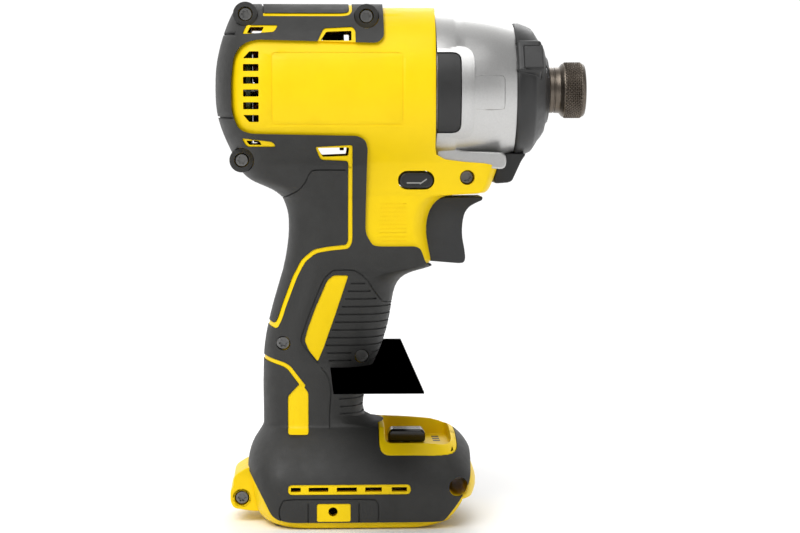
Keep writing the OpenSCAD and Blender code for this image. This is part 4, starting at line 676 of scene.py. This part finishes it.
def body_holes():
    """Every slot, screw pocket and way that goes through the yellow shell from the side."""
    holes = [through("slot", placed(shares), 0.5) for shares in slot_hole_shares]
    holes += [cross_rod("pocket", *at(p), -far, -p[2] + head_in + head_h, head_pocket_r) for p in screw_places]
    holes.append(cross_rod("tether_way", tether_x, tether_z, -far, far, tether_r))
    holes += [cross_rod("hook_way", hook_x, hook_z, -far, -bay_half + 1, 1.65),
              cross_rod("hook_way", hook_x, hook_z, bay_half - 1, far, 1.65)]
    for x0, x1 in strip_slot_shares:
        z0, z1 = [z * tool_h for z in strip_slot_z]
        holes.append(through("strip_slot", [(x0 * tool_l, z0), (x1 * tool_l, z0), (x1 * tool_l, z1), (x0 * tool_l, z1)]))
    for i, share in enumerate(vent_shares):
        z0, z1 = share * tool_h - vent_h / 2, share * tool_h + vent_h / 2
        lean = 2.2
        top, foot = lean if i == 0 else 0, lean if i == len(vent_shares) - 1 else 0
        holes.append(through("vent", [(vent_x0 + foot, z0), (vent_x1, z0), (vent_x1, z1), (vent_x0 + top, z1)], 0.35))
    return joined(holes)


def boss_end(p):
    """Height of a screw boss in the yellow shell."""
    return p[2] - (0 if p in open_bosses else 2 * ring_lip if p in handle_bosses else seat_t)


def shell_extras():
    """Screw bosses, rear boss, hook pad, tether tube and the raised yellow inlays of the right half."""
    inner = -parting_gap / 2
    extras = []
    for p in screw_places:
        boss = cross_rod("boss", *at(p), -boss_end(p), inner, boss_r)
        if p in handle_bosses:
            carved(boss, skin_at(rubber_t + 0.2, "boss_limit"), "INTERSECT")
        extras.append(carved(boss, cross_rod("pocket", *at(p), -far, -p[2] + head_in + head_h, head_pocket_r)))
    rear = screw_places[-1]
    rear_boss = eased(prism("rear_boss", softened(placed(rear_boss_shares), 1.6), -14, inner), 0.5)
    extras.append(carved(rear_boss, cross_rod("pocket", *at(rear), -far, -rear[2] + head_in + head_h, head_pocket_r)))
    pad = eased(prism("hook_pad", softened(placed(hook_pad_shares), 0.8), -foot_w / 2 + 0.3, -bay_half), 0.3)
    extras.append(carved(pad, cross_rod("hook_way", hook_x, hook_z, -far, far, 1.65)))
    tube = cross_rod("tether_tube", tether_x, tether_z, -bay_half - 2, inner, tether_r + 1.1)
    carved(tube, skin_at(rubber_t, "tube_limit"), "INTERSECT")
    extras.append(carved(tube, cross_rod("tether_way", tether_x, tether_z, -far, far, tether_r)))
    for outlines in window_groups():
        inlay = joined([prism("inlay", drawn_in(outline, 0.1), -far, far) for outline in outlines])
        carved(inlay, skin_at(inlay_sink, "inlay_top"), "INTERSECT")
        carved(inlay, through("edge", placed(overmould_shares), 2.5), "INTERSECT")
        carved(inlay, skin_at(rubber_t + 0.6, "inlay_foot"))
        carved(inlay, body_holes())
        extras.append(half_of(inlay, "inlay", "right", 0.22))
        bpy.data.objects.remove(inlay)
    return extras


def clamshell():
    piece = skin_at(rubber_t, "clamshell")
    room_rows = [r for r in body_rows(rubber_t + wall) if r[0] > room_z]
    room = loft("room", [(room_z,) + room_rows[0][1:]] + room_rows, levels=0)
    carved(piece, room)
    carved(piece, turned("spigot_room", [(-18, 0.01), (-18, case_spigot_r + 0.1), (case_x + 2, case_spigot_r + 0.1),
                                         (case_x + 2, 0.01)]))
    carved(piece, case_skin("case_room", free_gap / 2))
    carved(piece, joined([cross_rod("seat_room", *at(p), *sorted((side * (p[2] - seat_t), side * far)), boss_ring_r + 0.35)
                          for p in barrel_bosses for side in (-1, 1)]))
    carved(piece, body_holes())
    carved(piece, through("button_way", stadium(button_x, button_z, button_l + 2 * free_gap, button_h + 2 * free_gap)))
    carved(piece, block("bay", bay_x, far, -bay_half, bay_half, rail_t, bay_h))
    carved(piece, block("bay_mouth", bay_x, far, -rail_half, rail_half, -overrun, bay_h))
    carved(piece, block("trigger_way", -2.5, far, -trigger_half - free_gap, trigger_half + free_gap,
                        trigger_low - free_gap, trigger_top + free_gap))
    carved(piece, panel_column("panel_way", 0.1, plate_z0 - 0.1, foot_h + overrun))
    tidy_mesh(piece, 0.02)
    label = softened(placed(label_shares), 1.5)
    right = half_of(piece, "shell", "right", 0.22)
    border = prism("label_line", drawn_in(label, -0.2), -far, far)
    carved(border, prism("label", drawn_in(label, 0.2), -far - overrun, far + overrun))
    carved(right, carved(border, skin_at(rubber_t + 0.15, "line_floor")))
    carved(right, grooves(rubber_t + 0.15, [ribbon([(ridge_x[0], z), (ridge_x[1], z)], 0.4) for z in ridge_rows]))
    carved(right, grooves(rubber_t + 0.15, [ribbon(flowing(step_line), 0.3)]))
    right = joined([tidy_mesh(right, 0.01)] + shell_extras())
    shaded(right)
    ends = [cross_rod("blind_end", *at(p), p[2] - head_in - head_h - 0.2, boss_end(p) - 0.02, head_pocket_r + 0.1)
            for p in screw_places]
    left = joined([mirrored(right, "shell_left")] + ends)
    for half in (right, left):
        modified(half, "WEIGHTED_NORMAL", keep_sharp=True)
    on_body(right, "housing", yellow_plastic, "yellow_shell", "housing_right")
    on_body(left, "housing", yellow_plastic, "yellow_shell", "housing_left")
    bpy.data.objects.remove(piece)


rib_pitch = 2.8
rib_groove_h = 0.62
rib_depth = 0.65
rib_rows = [(86.8, -18.6, -13.4), (84.0, -19.6, -11.4), (81.2, -20.6, -9.2), (78.4, -21.8, 4), (75.6, -23, 4),
            (72.8, -24.3, 4), (70.0, -25.6, 4), (67.2, -27.0, 4), (64.4, -27.6, 4), (61.6, -27.1, -18.4), (61.6, -10.8, 4), (58.8, -26.6, -18.4), (58.8, -10.8, 4),
            (56.0, -26.0, 4), (53.2, -24.6, 4), (50.4, -23.6, 4), (47.6, -23.1, 4), (44.8, -22.7, 4), (42.0, -22.5, 4),
            (39.4, -22.5, 4)]
patch_line = [(-24.9, 91.6), (-17.2, 91.4), (-12.7, 87.9), (-10.4, 84.4), (-7.7, 80.8), (-6.1, 79.8), (0, 79.0)]
thumb_line = [(-29.3, 56.4), (-27.7, 54.2), (-26.3, 51.3), (-25.8, 46.8), (-26.3, 40.1), (-26.3, 34.2)]
wedge_line = [(-30.4, 57.9), (-34.3, 62.5), (-36.5, 66.2), (-35.3, 70.7), (-32.6, 78.1), (-28.4, 88.0), (-24.9, 91.6)]
back_line = [(-44, 117.2), (-41, 118.5), (-37.3, 120.6), (-34.7, 123.8), (-33.3, 126.7), (-30.9, 127.8), (-20.4, 127.8)]
seat_line = [(-41.5, 1.5), (-43.7, 3.0), (-44.5, 6.0), (-43.6, 9.4), (-41, 10.9), (-26, 11.0), (-12, 10.9), (-9.8, 10),
             (-9.2, 8.0), (-9.2, 1.5)]
seat_ticks = [[(-34.2, 2.6), (-34.2, 9.4)], [(-16.1, 2.6), (-16.1, 9.4)]]
pad_ends = [[(-50.5, 190), (-49.6, 183.4)], [(-70, 176.7), (-59.6, 176.2)], [(-70, 146.9), (-60.4, 146.4)]]


def grooves(depth, outlines):
    """Side outlines cut into the rubber to one depth."""
    cutter = joined([through("groove", outline) for outline in outlines])
    return carved(cutter, skin_at(depth, "groove_floor"))


def ring(place, side):
    """Rubber ring round a sunk screw head on the right, closed over the blind end of the boss on the left."""
    way = -1 if side == "right" else 1
    x, z = at(place)
    face, end = place[2], place[2] - ring_lip
    piece = cross_rod("ring", x, z, *sorted((way * face, way * (face - 4 * ring_lip))), boss_ring_r, 48)
    carved(piece, cross_rod("boss_room", x, z, -end, end, boss_r + hidden_lap, 48))
    if side == "right":
        carved(piece, cross_rod("head_way", x, z, -far, far, head_pocket_r - 0.1, 48))
    return eased(piece, 0.25)


def overmould():
    """Rubber layer over the shell: bumper above the seam, grip below it."""
    piece = skin_at(0, "overmould")
    carved(piece, through("edge", placed(overmould_shares), 2.5), "INTERSECT")
    carved(piece, skin_at(rubber_t + hidden_lap, "inner"))
    for outlines in window_groups():
        carved(piece, joined([prism("window", outline, -far, far) for outline in outlines]))
    rounds = [cross_rod("tether_rim", tether_x, tether_z, -far, far, tether_r + 0.05)]
    rounds += [cross_rod("ring_way", *at(p), -far, far, boss_ring_r - 0.1, 48) for p in barrel_bosses]
    rounds += [cross_rod("head_way", *at(p), -far, 0, head_pocket_r - 0.1, 48) for p in handle_bosses]
    carved(piece, joined(rounds))
    carved(piece, joined([cross_rod("seat", *at(p), *sorted((side * (p[2] - 0.5), side * far)), boss_ring_r + 0.15, 48)
                          for p in barrel_bosses for side in (-1, 1)]))
    carved(piece, panel_column("panel_way", 0.15, room_z, foot_h + overrun))
    tidy_mesh(piece, 0.02)
    ribs = [ribbon([(x0, z), (x1, z)], rib_groove_h) for z, x0, x1 in rib_rows]
    ribs += [ribbon(line, 0.55) for line in seat_ticks + pad_ends]
    seam = (0, 0, seam_z_share * tool_h * MM)
    right = half_of(piece, "grip_rubber", "right", 0.3)
    carved(right, grooves(rib_depth, ribs))
    for line in (patch_line, thumb_line, wedge_line, back_line, seat_line):
        carved(right, grooves(0.5, [ribbon(flowing(line), 0.5)]))
    ends = []
    for p in handle_bosses:
        end = cross_rod("blind_end", *at(p), p[2] - 2 * ring_lip + 0.02, far, head_pocket_r)
        ends.append(carved(end, skin_at(0.1, "end_limit"), "INTERSECT"))
    left = joined([mirrored(right, "grip_rubber_left")] + ends)
    for side, half in (("right", right), ("left", left)):
        for part, name, node, way in ((copied(half), "bumper_rubber", "bumper", 1), (half, "grip_rubber", "grip", -1)):
            part.name = part.data.name = name + "_" + side
            edit(part, lambda: bpy.ops.mesh.bisect(plane_co=seam, plane_no=(0, 0, way), use_fill=True, clear_inner=True,
                                                   clear_outer=False, threshold=1e-6))
            tidy_mesh(part, 0.01)
            if way > 0:
                part = joined([part] + [ring(p, side) for p in barrel_bosses])
            on_body(shaded(part), "housing", grip_rubber_black, "black_rubber", node + "_" + side)
    bpy.data.objects.remove(piece)


clamshell()
overmould()

# Front end: cast gear case with its pads, nose, lamp lenses and bit collar
collar_l = 13.3
collar_x = high.x - collar_l
nose_x = collar_x - free_gap
tube_x = nose_x - 1.0
case_in_x = tube_x - 7.8
case_end_x = 0.3022 * tool_l
spigot_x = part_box("gear_case")[0][0] / MM
case_r = 28.7
ring_r = 21.04
bush_r = 8.24
tube_r = 10.8
front_r = 22.2
tile_z = axis_h - 1.1
pad_outline = [(case_x - 6, tile_z - 14.4), (0.153 * tool_l, tile_z - 14.4), (0.153 * tool_l, tile_z + 14.4),
               (case_x - 6, tile_z + 14.4)]
rim_outline = [(case_x - 9, tile_z - 16.6), (0.187 * tool_l, tile_z - 16.6), (0.187 * tool_l, tile_z + 16.6),
               (case_x - 9, tile_z + 16.6)]
tile_outline = [(0.165 * tool_l, tile_z - 6.6), (0.2725 * tool_l, tile_z - 6.6), (0.2725 * tool_l, tile_z + 6.6),
                (0.165 * tool_l, tile_z + 6.6)]
flange_shares = [(0.0905, 0.75), (0.0905, 0.7), (0.12, 0.69), (0.277, 0.682), (0.277, 0.715), (0.16, 0.718),
                 (0.125, 0.726), (0.115, 0.75)]
flange_half = 18.4
pad_sink = 0.35
pad_t = 1.6
pod_turn = 120.0
pod_half, pod_r, pod_l = 6.6, 24.7, 9.2
chin_shares = [(0.255, 0.712), (0.338, 0.712), (0.324, 0.698), (0.299, 0.659), (0.289, 0.6555), (0.25, 0.6535)]
chin_half = 9.0
lens_r, lens_d = 13.4, 4.0


def rod(name, x0, x1, r, steps=96):
    return turned(name, [(x0, 0.01), (x0, r), (x1, r), (x1, 0.01)], steps)


def curved_plate(name, outline, soft, skin, inner_r):
    """Side outline bounded by a skin outside and a round room inside."""
    plate = through(name, outline, soft)
    carved(plate, skin, "INTERSECT")
    return carved(plate, rod("room", case_x - 2, case_end_x + 2, inner_r))


plate_foot_r = 24.6


def pad_pocket():
    """Room for the pads in the sides of the gear case."""
    return carved(through("pad_pocket", pad_outline, 3.2), rod("pocket_floor", -far, far, case_r - pad_t))


def gear_case():
    line = [(spigot_x, case_spigot_r), (case_x, case_spigot_r)] + case_profile
    line += [(case_end_x, front_r), (case_in_x, front_r), (case_in_x + 3, front_r - 1.6), (case_in_x + 3, tube_r),
             (tube_x, tube_r), (tube_x, bush_r), (case_in_x, bush_r), (case_in_x, ring_r), (spigot_x, ring_r)]
    casting = turned("gear_case_casting", line, 128)
    for step, rise in ((0, 0.35), (0.25, 0.6), (0.7, 0.75)):
        tile = drawn_in(softened(tile_outline, 2.2, 6), step)
        carved(casting, curved_plate("tile", tile, 0, case_skin("tile_skin", rise), plate_foot_r), "UNION")
    parts = [carved(casting, pad_pocket())]
    for i, (step, rise) in enumerate(((0, -0.55), (0.35, -0.15), (0.9, 0.2))):
        rim_skin = rod("rim_skin", case_x + 0.1 + 0.02 * i, case_end_x, case_r + rise)
        rim = curved_plate("rim", drawn_in(softened(rim_outline, 5.5, 8), step), 0, rim_skin, plate_foot_r)
        parts.append(carved(rim, pad_pocket()))
    flange = prism("flange", softened(placed(flange_shares), 2.6), -flange_half, flange_half)
    modified(flange, "BEVEL", width=0.7 * MM, segments=3, limit_method="ANGLE", angle_limit=math.radians(50))
    carved(flange, skin_at(rubber_t - 0.05, "bridge"))
    parts.append(carved(flange, rod("flange_room", case_x - 2, case_end_x + 2, plate_foot_r)))
    for part in parts:
        tidy_mesh(part, 0.02)
    piece = joined(parts)
    shaded(piece, 32)
    return on_body(piece, "housing", cast_alloy, "cast_case", "gear_case")


def case_pads():
    inner = [(x - 0.12 if x > case_x else x, tile_z + (z - tile_z) * 0.99) for x, z in pad_outline]
    piece = curved_plate("case_pad_rubber", inner, 3.1, rod("pad_skin", case_x + 0.2, case_end_x, case_r - pad_sink),
                         case_r - pad_t + 0.05)
    tidy_mesh(piece, 0.03)
    eased(piece, 0.35, 35, 3)
    return on_body(piece, "housing", nose_black, "black_rubber", "case_pads")


def about_axis(piece, degrees):
    """Turns a piece about the tool's axis from straight down."""
    c, s = math.cos(math.radians(degrees)), math.sin(math.radians(degrees))
    for v in piece.data.vertices:
        y, z = v.co.y, v.co.z - axis_h * MM
        v.co.y, v.co.z = c * y - s * z, s * y + c * z + axis_h * MM
    return piece


def nose():
    line = [(case_end_x + 0.05, front_r + 0.05), (case_end_x + 0.05, 24.0), (case_end_x + 0.6, 24.35),
            (42.8, 24.4), (45.2, 23.6), (47.4, 22.5), (48.3, 21.4), (49.9, 18.8), (51.2, 17.2), (52.2, 15.6),
            (52.5, 14.2), (53.1, 12.4), (nose_x, 11.6), (nose_x, tube_r + 0.05), (case_in_x + 3.05, tube_r + 0.05),
            (case_in_x + 3.05, front_r - 1.5), (case_in_x + 0.05, front_r + 0.05)]
    piece = turned("nose_guard", line, 128)
    for turn in (pod_turn, -pod_turn):
        pod = block("pod", case_end_x + 0.05, case_end_x + pod_l, -pod_half, pod_half, axis_h - pod_r, axis_h - 16.8)
        modified(pod, "BEVEL", width=1.3 * MM, segments=3)
        inset = block("pod_face", case_end_x + 2.4, case_end_x + pod_l + 0.35, -pod_half + 2.6, pod_half - 1.0,
                      axis_h - pod_r - 0.45, axis_h - 17.5)
        modified(inset, "BEVEL", width=0.5 * MM, segments=2)
        carved(pod, inset, "UNION")
        about_axis(pod, turn)
        carved(pod, turned("case_front", [(case_end_x - 1, 0.01), (case_end_x - 1, front_r + 0.05),
                                          (case_in_x + 0.05, front_r + 0.05), (case_in_x + 3.05, front_r - 1.5),
                                          (case_in_x + 3.05, 0.01)]))
        carved(piece, pod, "UNION")
    chin = prism("chin", softened(placed(chin_shares), 1.2), -chin_half, chin_half)
    carved(chin, rod("case_way", -far, far, 23.85))
    carved(chin, case_skin("case_room", 0.05))
    carved(chin, skin_at(rubber_t - 0.1, "bridge"))
    carved(piece, chin, "UNION")
    for turn in (0, pod_turn, -pod_turn):
        hole = about_axis(rod_at("lens_way", case_in_x + 3, far, lens_r, lens_d / 2 + 0.1), turn)
        carved(piece, hole)
    tidy_mesh(piece, 0.03)
    eased(piece, 0.35, 33, 3)
    return on_body(piece, "housing", nose_black, "black_nose", "nose_bumper")


def rod_at(name, x0, x1, drop, r, steps=32):
    """Rod along X, below the axis by drop."""
    bpy.ops.mesh.primitive_cylinder_add(vertices=steps, radius=r * MM, depth=(x1 - x0) * MM)
    piece = new_piece(name)
    for v in piece.data.vertices:
        px, py, pz = v.co
        v.co = ((x0 + x1) / 2 * MM + pz, py, (axis_h - drop) * MM + px)
    return edit(piece, lambda: bpy.ops.mesh.normals_make_consistent(inside=False))


def lenses():
    near, end = [corner[0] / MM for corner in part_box("led_lenses")]
    made = []
    for turn in (0, pod_turn, -pod_turn):
        bpy.ops.mesh.primitive_uv_sphere_add(segments=28, ring_count=14, radius=lens_d / 2 * MM)
        lens = new_piece("lamp_lens")
        for v in lens.data.vertices:
            px, py, pz = v.co / MM
            x = end - 1.3 + pz * 0.65 if pz > 0 else near + (end - 1.3 - near) * (1 + pz / (lens_d / 2))
            v.co = Vector((x, py if pz > 0 else py, axis_h - lens_r + px)) * MM
        made.append(about_axis(lens, turn))
    piece = joined(made)
    piece.name = piece.data.name = "lamp_lenses"
    tidy_mesh(piece, 0.002)
    shaded(piece)
    return on_body(piece, "housing", lamp_clear, "clear_lens", "led_lenses")


# Bit collar with a rolled diamond knurl
knurl_count = 46
knurl_depth = 0.5
knurl_from, knurl_to = 5.4, 12.3
collar_line = [(0.0, 7.4), (0.0, 8.05), (0.3, 8.35), (1.5, 8.35), (1.7, 8.15), (2.0, 8.15), (2.2, 8.35), (3.7, 8.35),
               (4.1, 8.5), (5.0, 9.6), (5.4, 9.75)]
collar_end = [(12.3, 9.75), (12.9, 9.5), (13.2, 9.1), (13.3, 8.7), (13.3, 7.55)]
collar_bore = [(9.0, 7.55), (3.8, 7.55), (3.8, 6.05), (1.8, 6.05), (1.8, 7.0), (0.0, 7.0)]


def bit_collar():
    per_diamond = 8
    around = knurl_count * per_diamond
    pitch = 2 * math.pi * 10.0 / knurl_count
    rows = math.ceil((knurl_to - knurl_from) / pitch * per_diamond)
    profile = collar_line + [(knurl_from + (knurl_to - knurl_from) * k / rows, None) for k in range(1, rows)]
    profile += collar_end + collar_bore
    bpy.ops.mesh.primitive_grid_add(x_subdivisions=around, y_subdivisions=len(profile), size=1)
    piece = new_piece("knurled_collar")
    tri = lambda t: abs(2 * (t - math.floor(t)) - 1)
    loop = profile + profile[:1]
    for k, (x, r) in enumerate(loop):
        for j in range(around + 1):
            a = 2 * math.pi * (j % around) / around
            radius = r
            if r is None:
                u = j / per_diamond
                w = (x - knurl_from) / pitch
                fade = min(1, (x - knurl_from) / 0.6, (knurl_to - x) / 0.6)
                radius = 9.75 + knurl_depth * fade * min(1, 1.5 * min(tri(u / 1 + w), tri(u / 1 - w)))
            piece.data.vertices[k * (around + 1) + j].co = (
                (collar_x + x) * MM, radius * math.sin(a) * MM, (axis_h + radius * math.cos(a)) * MM)
    tidy_mesh(piece, 0.0005)
    shaded(piece, 32)
    return on_body(piece, "collar", collar_gunmetal, "collar_steel", "bit_collar")


gear_case()
case_pads()
nose()
lenses()
bit_collar()

# Controls: trigger, direction button, mode plate with its slider
trigger_back = 0.037 * tool_l
trigger_shares = [(0.055, 0.612), (0.085, 0.6245), (0.104, 0.6252), (0.115, 0.6275), (0.2195, 0.6285), (0.2185, 0.6215), (0.2, 0.616), (0.183, 0.609),
                  (0.171, 0.598), (0.1655, 0.582), (0.1635, 0.565), (0.1645, 0.548), (0.1705, 0.526), (0.173, 0.509),
                  (0.169, 0.5), (0.155, 0.499), (0.055, 0.505)]
stem_inset = 2.4
spring_room_r = 5.2
button_half = 17.4
dish_d = 0.3
arrow_line = [(-3.4, -1.0), (1.6, -1.0)]
arrow_head = [(1.3, -1.4), (3.8, 0.4)]
pocket_half_l, pocket_half_w = 7.2, 11.9
slider_l, slider_w, slider_y = 13.6, 9.0, -7.0
slider_rise = 4.7
pocket_z = foot_h - slider_rise - 1.9
tray_z = pocket_z - 1.2
peg_w = 2.4
panel_rim = 1.7
tray_rim, tray_near, tray_far = 2.2, 23.4, 12.3
mark_x = 11.8
mark_places = [-5.2, 0.0, 5.2]


def trigger():
    piece = prism("trigger_blade", softened(placed(trigger_shares), 1.4), -trigger_half, trigger_half)
    modified(piece, "BEVEL", width=2.2 * MM, segments=5, limit_method="ANGLE", angle_limit=math.radians(50))
    stem = block("stem", trigger_back, 0.095 * tool_l + 1, -trigger_half + stem_inset, trigger_half - stem_inset,
                 trigger_low + stem_inset, trigger_top - stem_inset)
    carved(piece, stem, "UNION")
    mid = (trigger_low + trigger_top) / 2
    carved(piece, rod_at("spring_room", trigger_back - 1, trigger_back + 8, axis_h - mid, spring_room_r))
    carved(piece, rod_at("plunger_room", trigger_back, trigger_back + 13, axis_h - mid, 3.05))
    tidy_mesh(piece, 0.02)
    eased(piece, 0.2, 45)
    return on_body(piece, "trigger_assembly", trigger_grey, "trigger_plastic", "trigger")


def direction_button():
    piece = prism("direction_button", stadium(button_x, button_z, button_l, button_h, 14), -button_half, button_half)
    modified(piece, "BEVEL", width=0.9 * MM, segments=4, limit_method="ANGLE", angle_limit=math.radians(50))
    for side in (-1, 1):
        y0, y1 = sorted((side * (button_half - dish_d), side * (button_half + 1)))
        carved(piece, prism("dish", stadium(button_x, button_z, button_l - 2.4, button_h - 2.0, 14), y0, y1))
    carved(piece, block("lever_slot", button_x - 3.6, button_x + 3.6, -1.85, 1.85, button_z - button_h,
                        button_z + free_gap))
    tidy_mesh(piece, 0.02)
    shaded(piece, 35)
    return on_body(piece, "reverse_shuttle", button_black, "grey_plastic", "reverse_button")


def direction_arrows():
    """Thin painted arrow in the dish at each end of the button."""
    made = []
    for side in (-1, 1):
        y0, y1 = sorted((side * (button_half - dish_d - 0.2), side * (button_half - dish_d + 0.03)))
        for line in (arrow_line, arrow_head):
            made.append(prism("arrow", ribbon([(button_x - side * x, button_z + z) for x, z in line], 0.4), y0, y1))
    piece = joined(made)
    piece.name = piece.data.name = "direction_arrows"
    return on_body(shaded(piece), "reverse_shuttle", arrow_paint, "grey_plastic")


def mode_plate():
    piece = skin_at(0, "mode_plate")
    carved(piece, panel_column("plate_edge", -0.05, plate_z0, foot_h + overrun), "INTERSECT")
    carved(piece, panel_column("under", -panel_rim, plate_z0 - overrun, tray_z))
    tray = softened([(panel_x0 + tray_rim, -tray_near), (panel_x1 - tray_rim, -tray_near),
                     (panel_x1 - tray_rim, tray_far), (panel_x0 + tray_rim, tray_far)], [2.6, 7.0, 2.6, 2.6], 6)
    carved(piece, column("tray", tray, pocket_z, foot_h + overrun))
    carved(piece, block("peg_way", slider_x - peg_w / 2 - free_gap, slider_x + peg_w / 2 + free_gap,
                        -7 - peg_w / 2 - free_gap, 7 + peg_w / 2 + free_gap, tray_z - 1, far))
    tidy_mesh(piece, 0.02)
    eased(piece, 0.45, 40, 3)
    return on_body(piece, "housing", yellow_plastic, "yellow_shell", "mode_panel")


def mode_marks():
    made = []
    for y in mark_places:
        mark = block("mark", mark_x, mark_x + 2.6, y - 1.5, y + 1.5, pocket_z - 0.3, pocket_z + 0.08)
        made.append(mark)
    piece = joined(made)
    piece.name = piece.data.name = "mode_marks"
    tidy_mesh(piece, 0.01)
    eased(piece, 0.08, 40)
    return on_body(piece, "housing", button_black, "grey_plastic")


def mode_slider():
    z0 = pocket_z + free_gap
    outline = [(slider_x - slider_l / 2, z0), (slider_x + slider_l / 2, z0),
               (slider_x + slider_l / 2, z0 + slider_rise - 1.2), (slider_x + slider_l / 2 - 1.2, z0 + slider_rise),
               (slider_x - slider_l / 2 + 1.2, z0 + slider_rise), (slider_x - slider_l / 2, z0 + slider_rise - 1.2)]
    piece = prism("mode_knob", outline, slider_y - slider_w / 2, slider_y + slider_w / 2)
    modified(piece, "BEVEL", width=1.2 * MM, segments=4, limit_method="ANGLE", angle_limit=math.radians(40))
    for k in range(-2, 3):
        y = slider_y + k * 1.3
        carved(piece, block("knob_groove", slider_x - 5, slider_x + 5, y - 0.25, y + 0.25, z0 + slider_rise - 0.3,
                            z0 + slider_rise + 1))
    carved(piece, block("peg", slider_x - peg_w / 2, slider_x + peg_w / 2, slider_y - peg_w / 2, slider_y + peg_w / 2,
                        tray_z + 0.04, z0 + 1), "UNION")
    tidy_mesh(piece, 0.02)
    eased(piece, 0.12, 40)
    return on_body(piece, "mode_selector", knob_black, "grey_plastic", "mode_slider")


# Housing screws: one lobed-socket screw, copied to each boss
screw_d, screw_head_d, screw_reach = 3.0, 5.0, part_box("housing_screws")[1][1] / MM


def star(x, z, r, depth_share, points=6, steps=72):
    """Six-lobed socket outline."""
    return [(x + r * (1 + depth_share * math.cos(points * a)) * math.cos(a),
             z + r * (1 + depth_share * math.cos(points * a)) * math.sin(a))
            for a in (2 * math.pi * k / steps for k in range(steps))]


def screws():
    head = cross_rod("screw", 0, 0, 0, head_h - 0.04, screw_head_d / 2, 40)
    modified(head, "BEVEL", width=0.45 * MM, segments=3, limit_method="ANGLE", angle_limit=math.radians(50))
    carved(head, cross_rod("shank", 0, 0, head_h - 0.3, 30, screw_d / 2), "UNION")
    carved(head, prism("socket", star(0, 0, 1.35, 0.16), -1, 1.6))
    tidy_mesh(head, 0.01)
    made = []
    for p in screw_places:
        screw = copied(head)
        x, z = at(p)
        y = -p[2] + head_in
        for v in screw.data.vertices:
            reach = v.co.y / MM
            v.co = ((x * MM + v.co.x), (min(reach + y, screw_reach)) * MM, z * MM + v.co.z)
        made.append(screw)
    bpy.data.objects.remove(head)
    piece = joined(made)
    piece.name = piece.data.name = "lobed_screws"
    tidy_mesh(piece, 0.005)
    shaded(piece, 35)
    return on_body(piece, "housing", screw_black, "black_screw", "housing_screws")


trigger()
direction_button()
direction_arrows()
mode_plate()
mode_marks()
mode_slider()
screws()

# Inner parts keep their solids and take the finish of their slot
outer_finishes = {"yellow_shell": yellow_plastic, "black_rubber": grip_rubber_black, "cast_case": cast_alloy,
                  "black_nose": nose_black, "clear_lens": lamp_clear, "collar_steel": collar_gunmetal,
                  "black_screw": screw_black, "trigger_plastic": trigger_grey}
for row in record["subparts"]:
    set_finish(frame["nodes"][row["node"]], {**inner_finishes, **outer_finishes}[row["material_slot"]])


for skin in skin_stock.values():
    bpy.data.objects.remove(skin)

# Stage
bpy.ops.mesh.primitive_plane_add(size=8, location=(0, 0, -0.0002))
floor = new_piece("pale_floor")
pale = finish("pale", lambda tree, shader: tree.links.new(
    tinted(tree, grain(tree, 3), (0.97, 0.97, 0.97), (0.98, 0.98, 0.98)), shader.inputs["Base Color"]))
set_finish(floor, pale)

world = bpy.context.scene.world or bpy.data.worlds.new("studio")
bpy.context.scene.world = world
world.use_nodes = True
background = next(n for n in world.node_tree.nodes if n.type == "BACKGROUND")
background.inputs["Color"].default_value = (1, 1, 1, 1)
sky = world.node_tree.nodes.new("ShaderNodeTexCoord")
ways = world.node_tree.nodes.new("ShaderNodeSeparateXYZ")
world.node_tree.links.new(sky.outputs["Generated"], ways.inputs["Vector"])
glow = spread(world.node_tree, ways.outputs["Y"], 0.34, 1.05, -0.1, 0.5)
world.node_tree.links.new(glow, background.inputs["Strength"])


def lamp(name, place, aim, size, power):
    bpy.ops.object.light_add(type="AREA", location=place)
    light = bpy.context.active_object
    light.name = name
    light.data.shape = "DISK"
    light.data.size = size
    light.data.energy = power
    light.rotation_euler = (Vector(aim) - Vector(place)).to_track_quat("-Z", "Y").to_euler()
    return light


middle = (0, 0, tool_h / 2 * MM)
lamp("key_light", (-0.45, -0.8, 0.75), middle, 0.5, 2.4)
lamp("fill_light", (0.8, -0.6, 0.3), middle, 0.5, 0.6)
lamp("rim_light", (0.2, 0.8, 0.7), middle, 0.6, 2)
bpy.ops.object.light_add(type="SUN", location=(-0.4, -0.7, 1.2))
sun = bpy.context.active_object
sun.name = "wide_soft_light"
sun.data.energy = 1.9
sun.data.angle = math.radians(50)
sun.rotation_euler = (Vector(middle) - sun.location).to_track_quat("-Z", "Y").to_euler()

# Camera: eye in front of the rear of the barrel, aimed at the middle of the photograph's frame
eye = Vector((-36.9, -850, 149)) * MM
frame_centre = Vector((-0.1, 0, 91.8)) * MM
frame_width = 294.4
bpy.ops.object.camera_add(location=eye)
camera = bpy.context.active_object
camera.rotation_euler = (frame_centre - eye).to_track_quat("-Z", "Y").to_euler()
camera.data.sensor_width = 36
camera.data.lens = camera.data.sensor_width * (frame_centre - eye).length / (frame_width * MM)
bpy.context.scene.camera = camera
bpy.context.scene.view_settings.view_transform = "Standard"
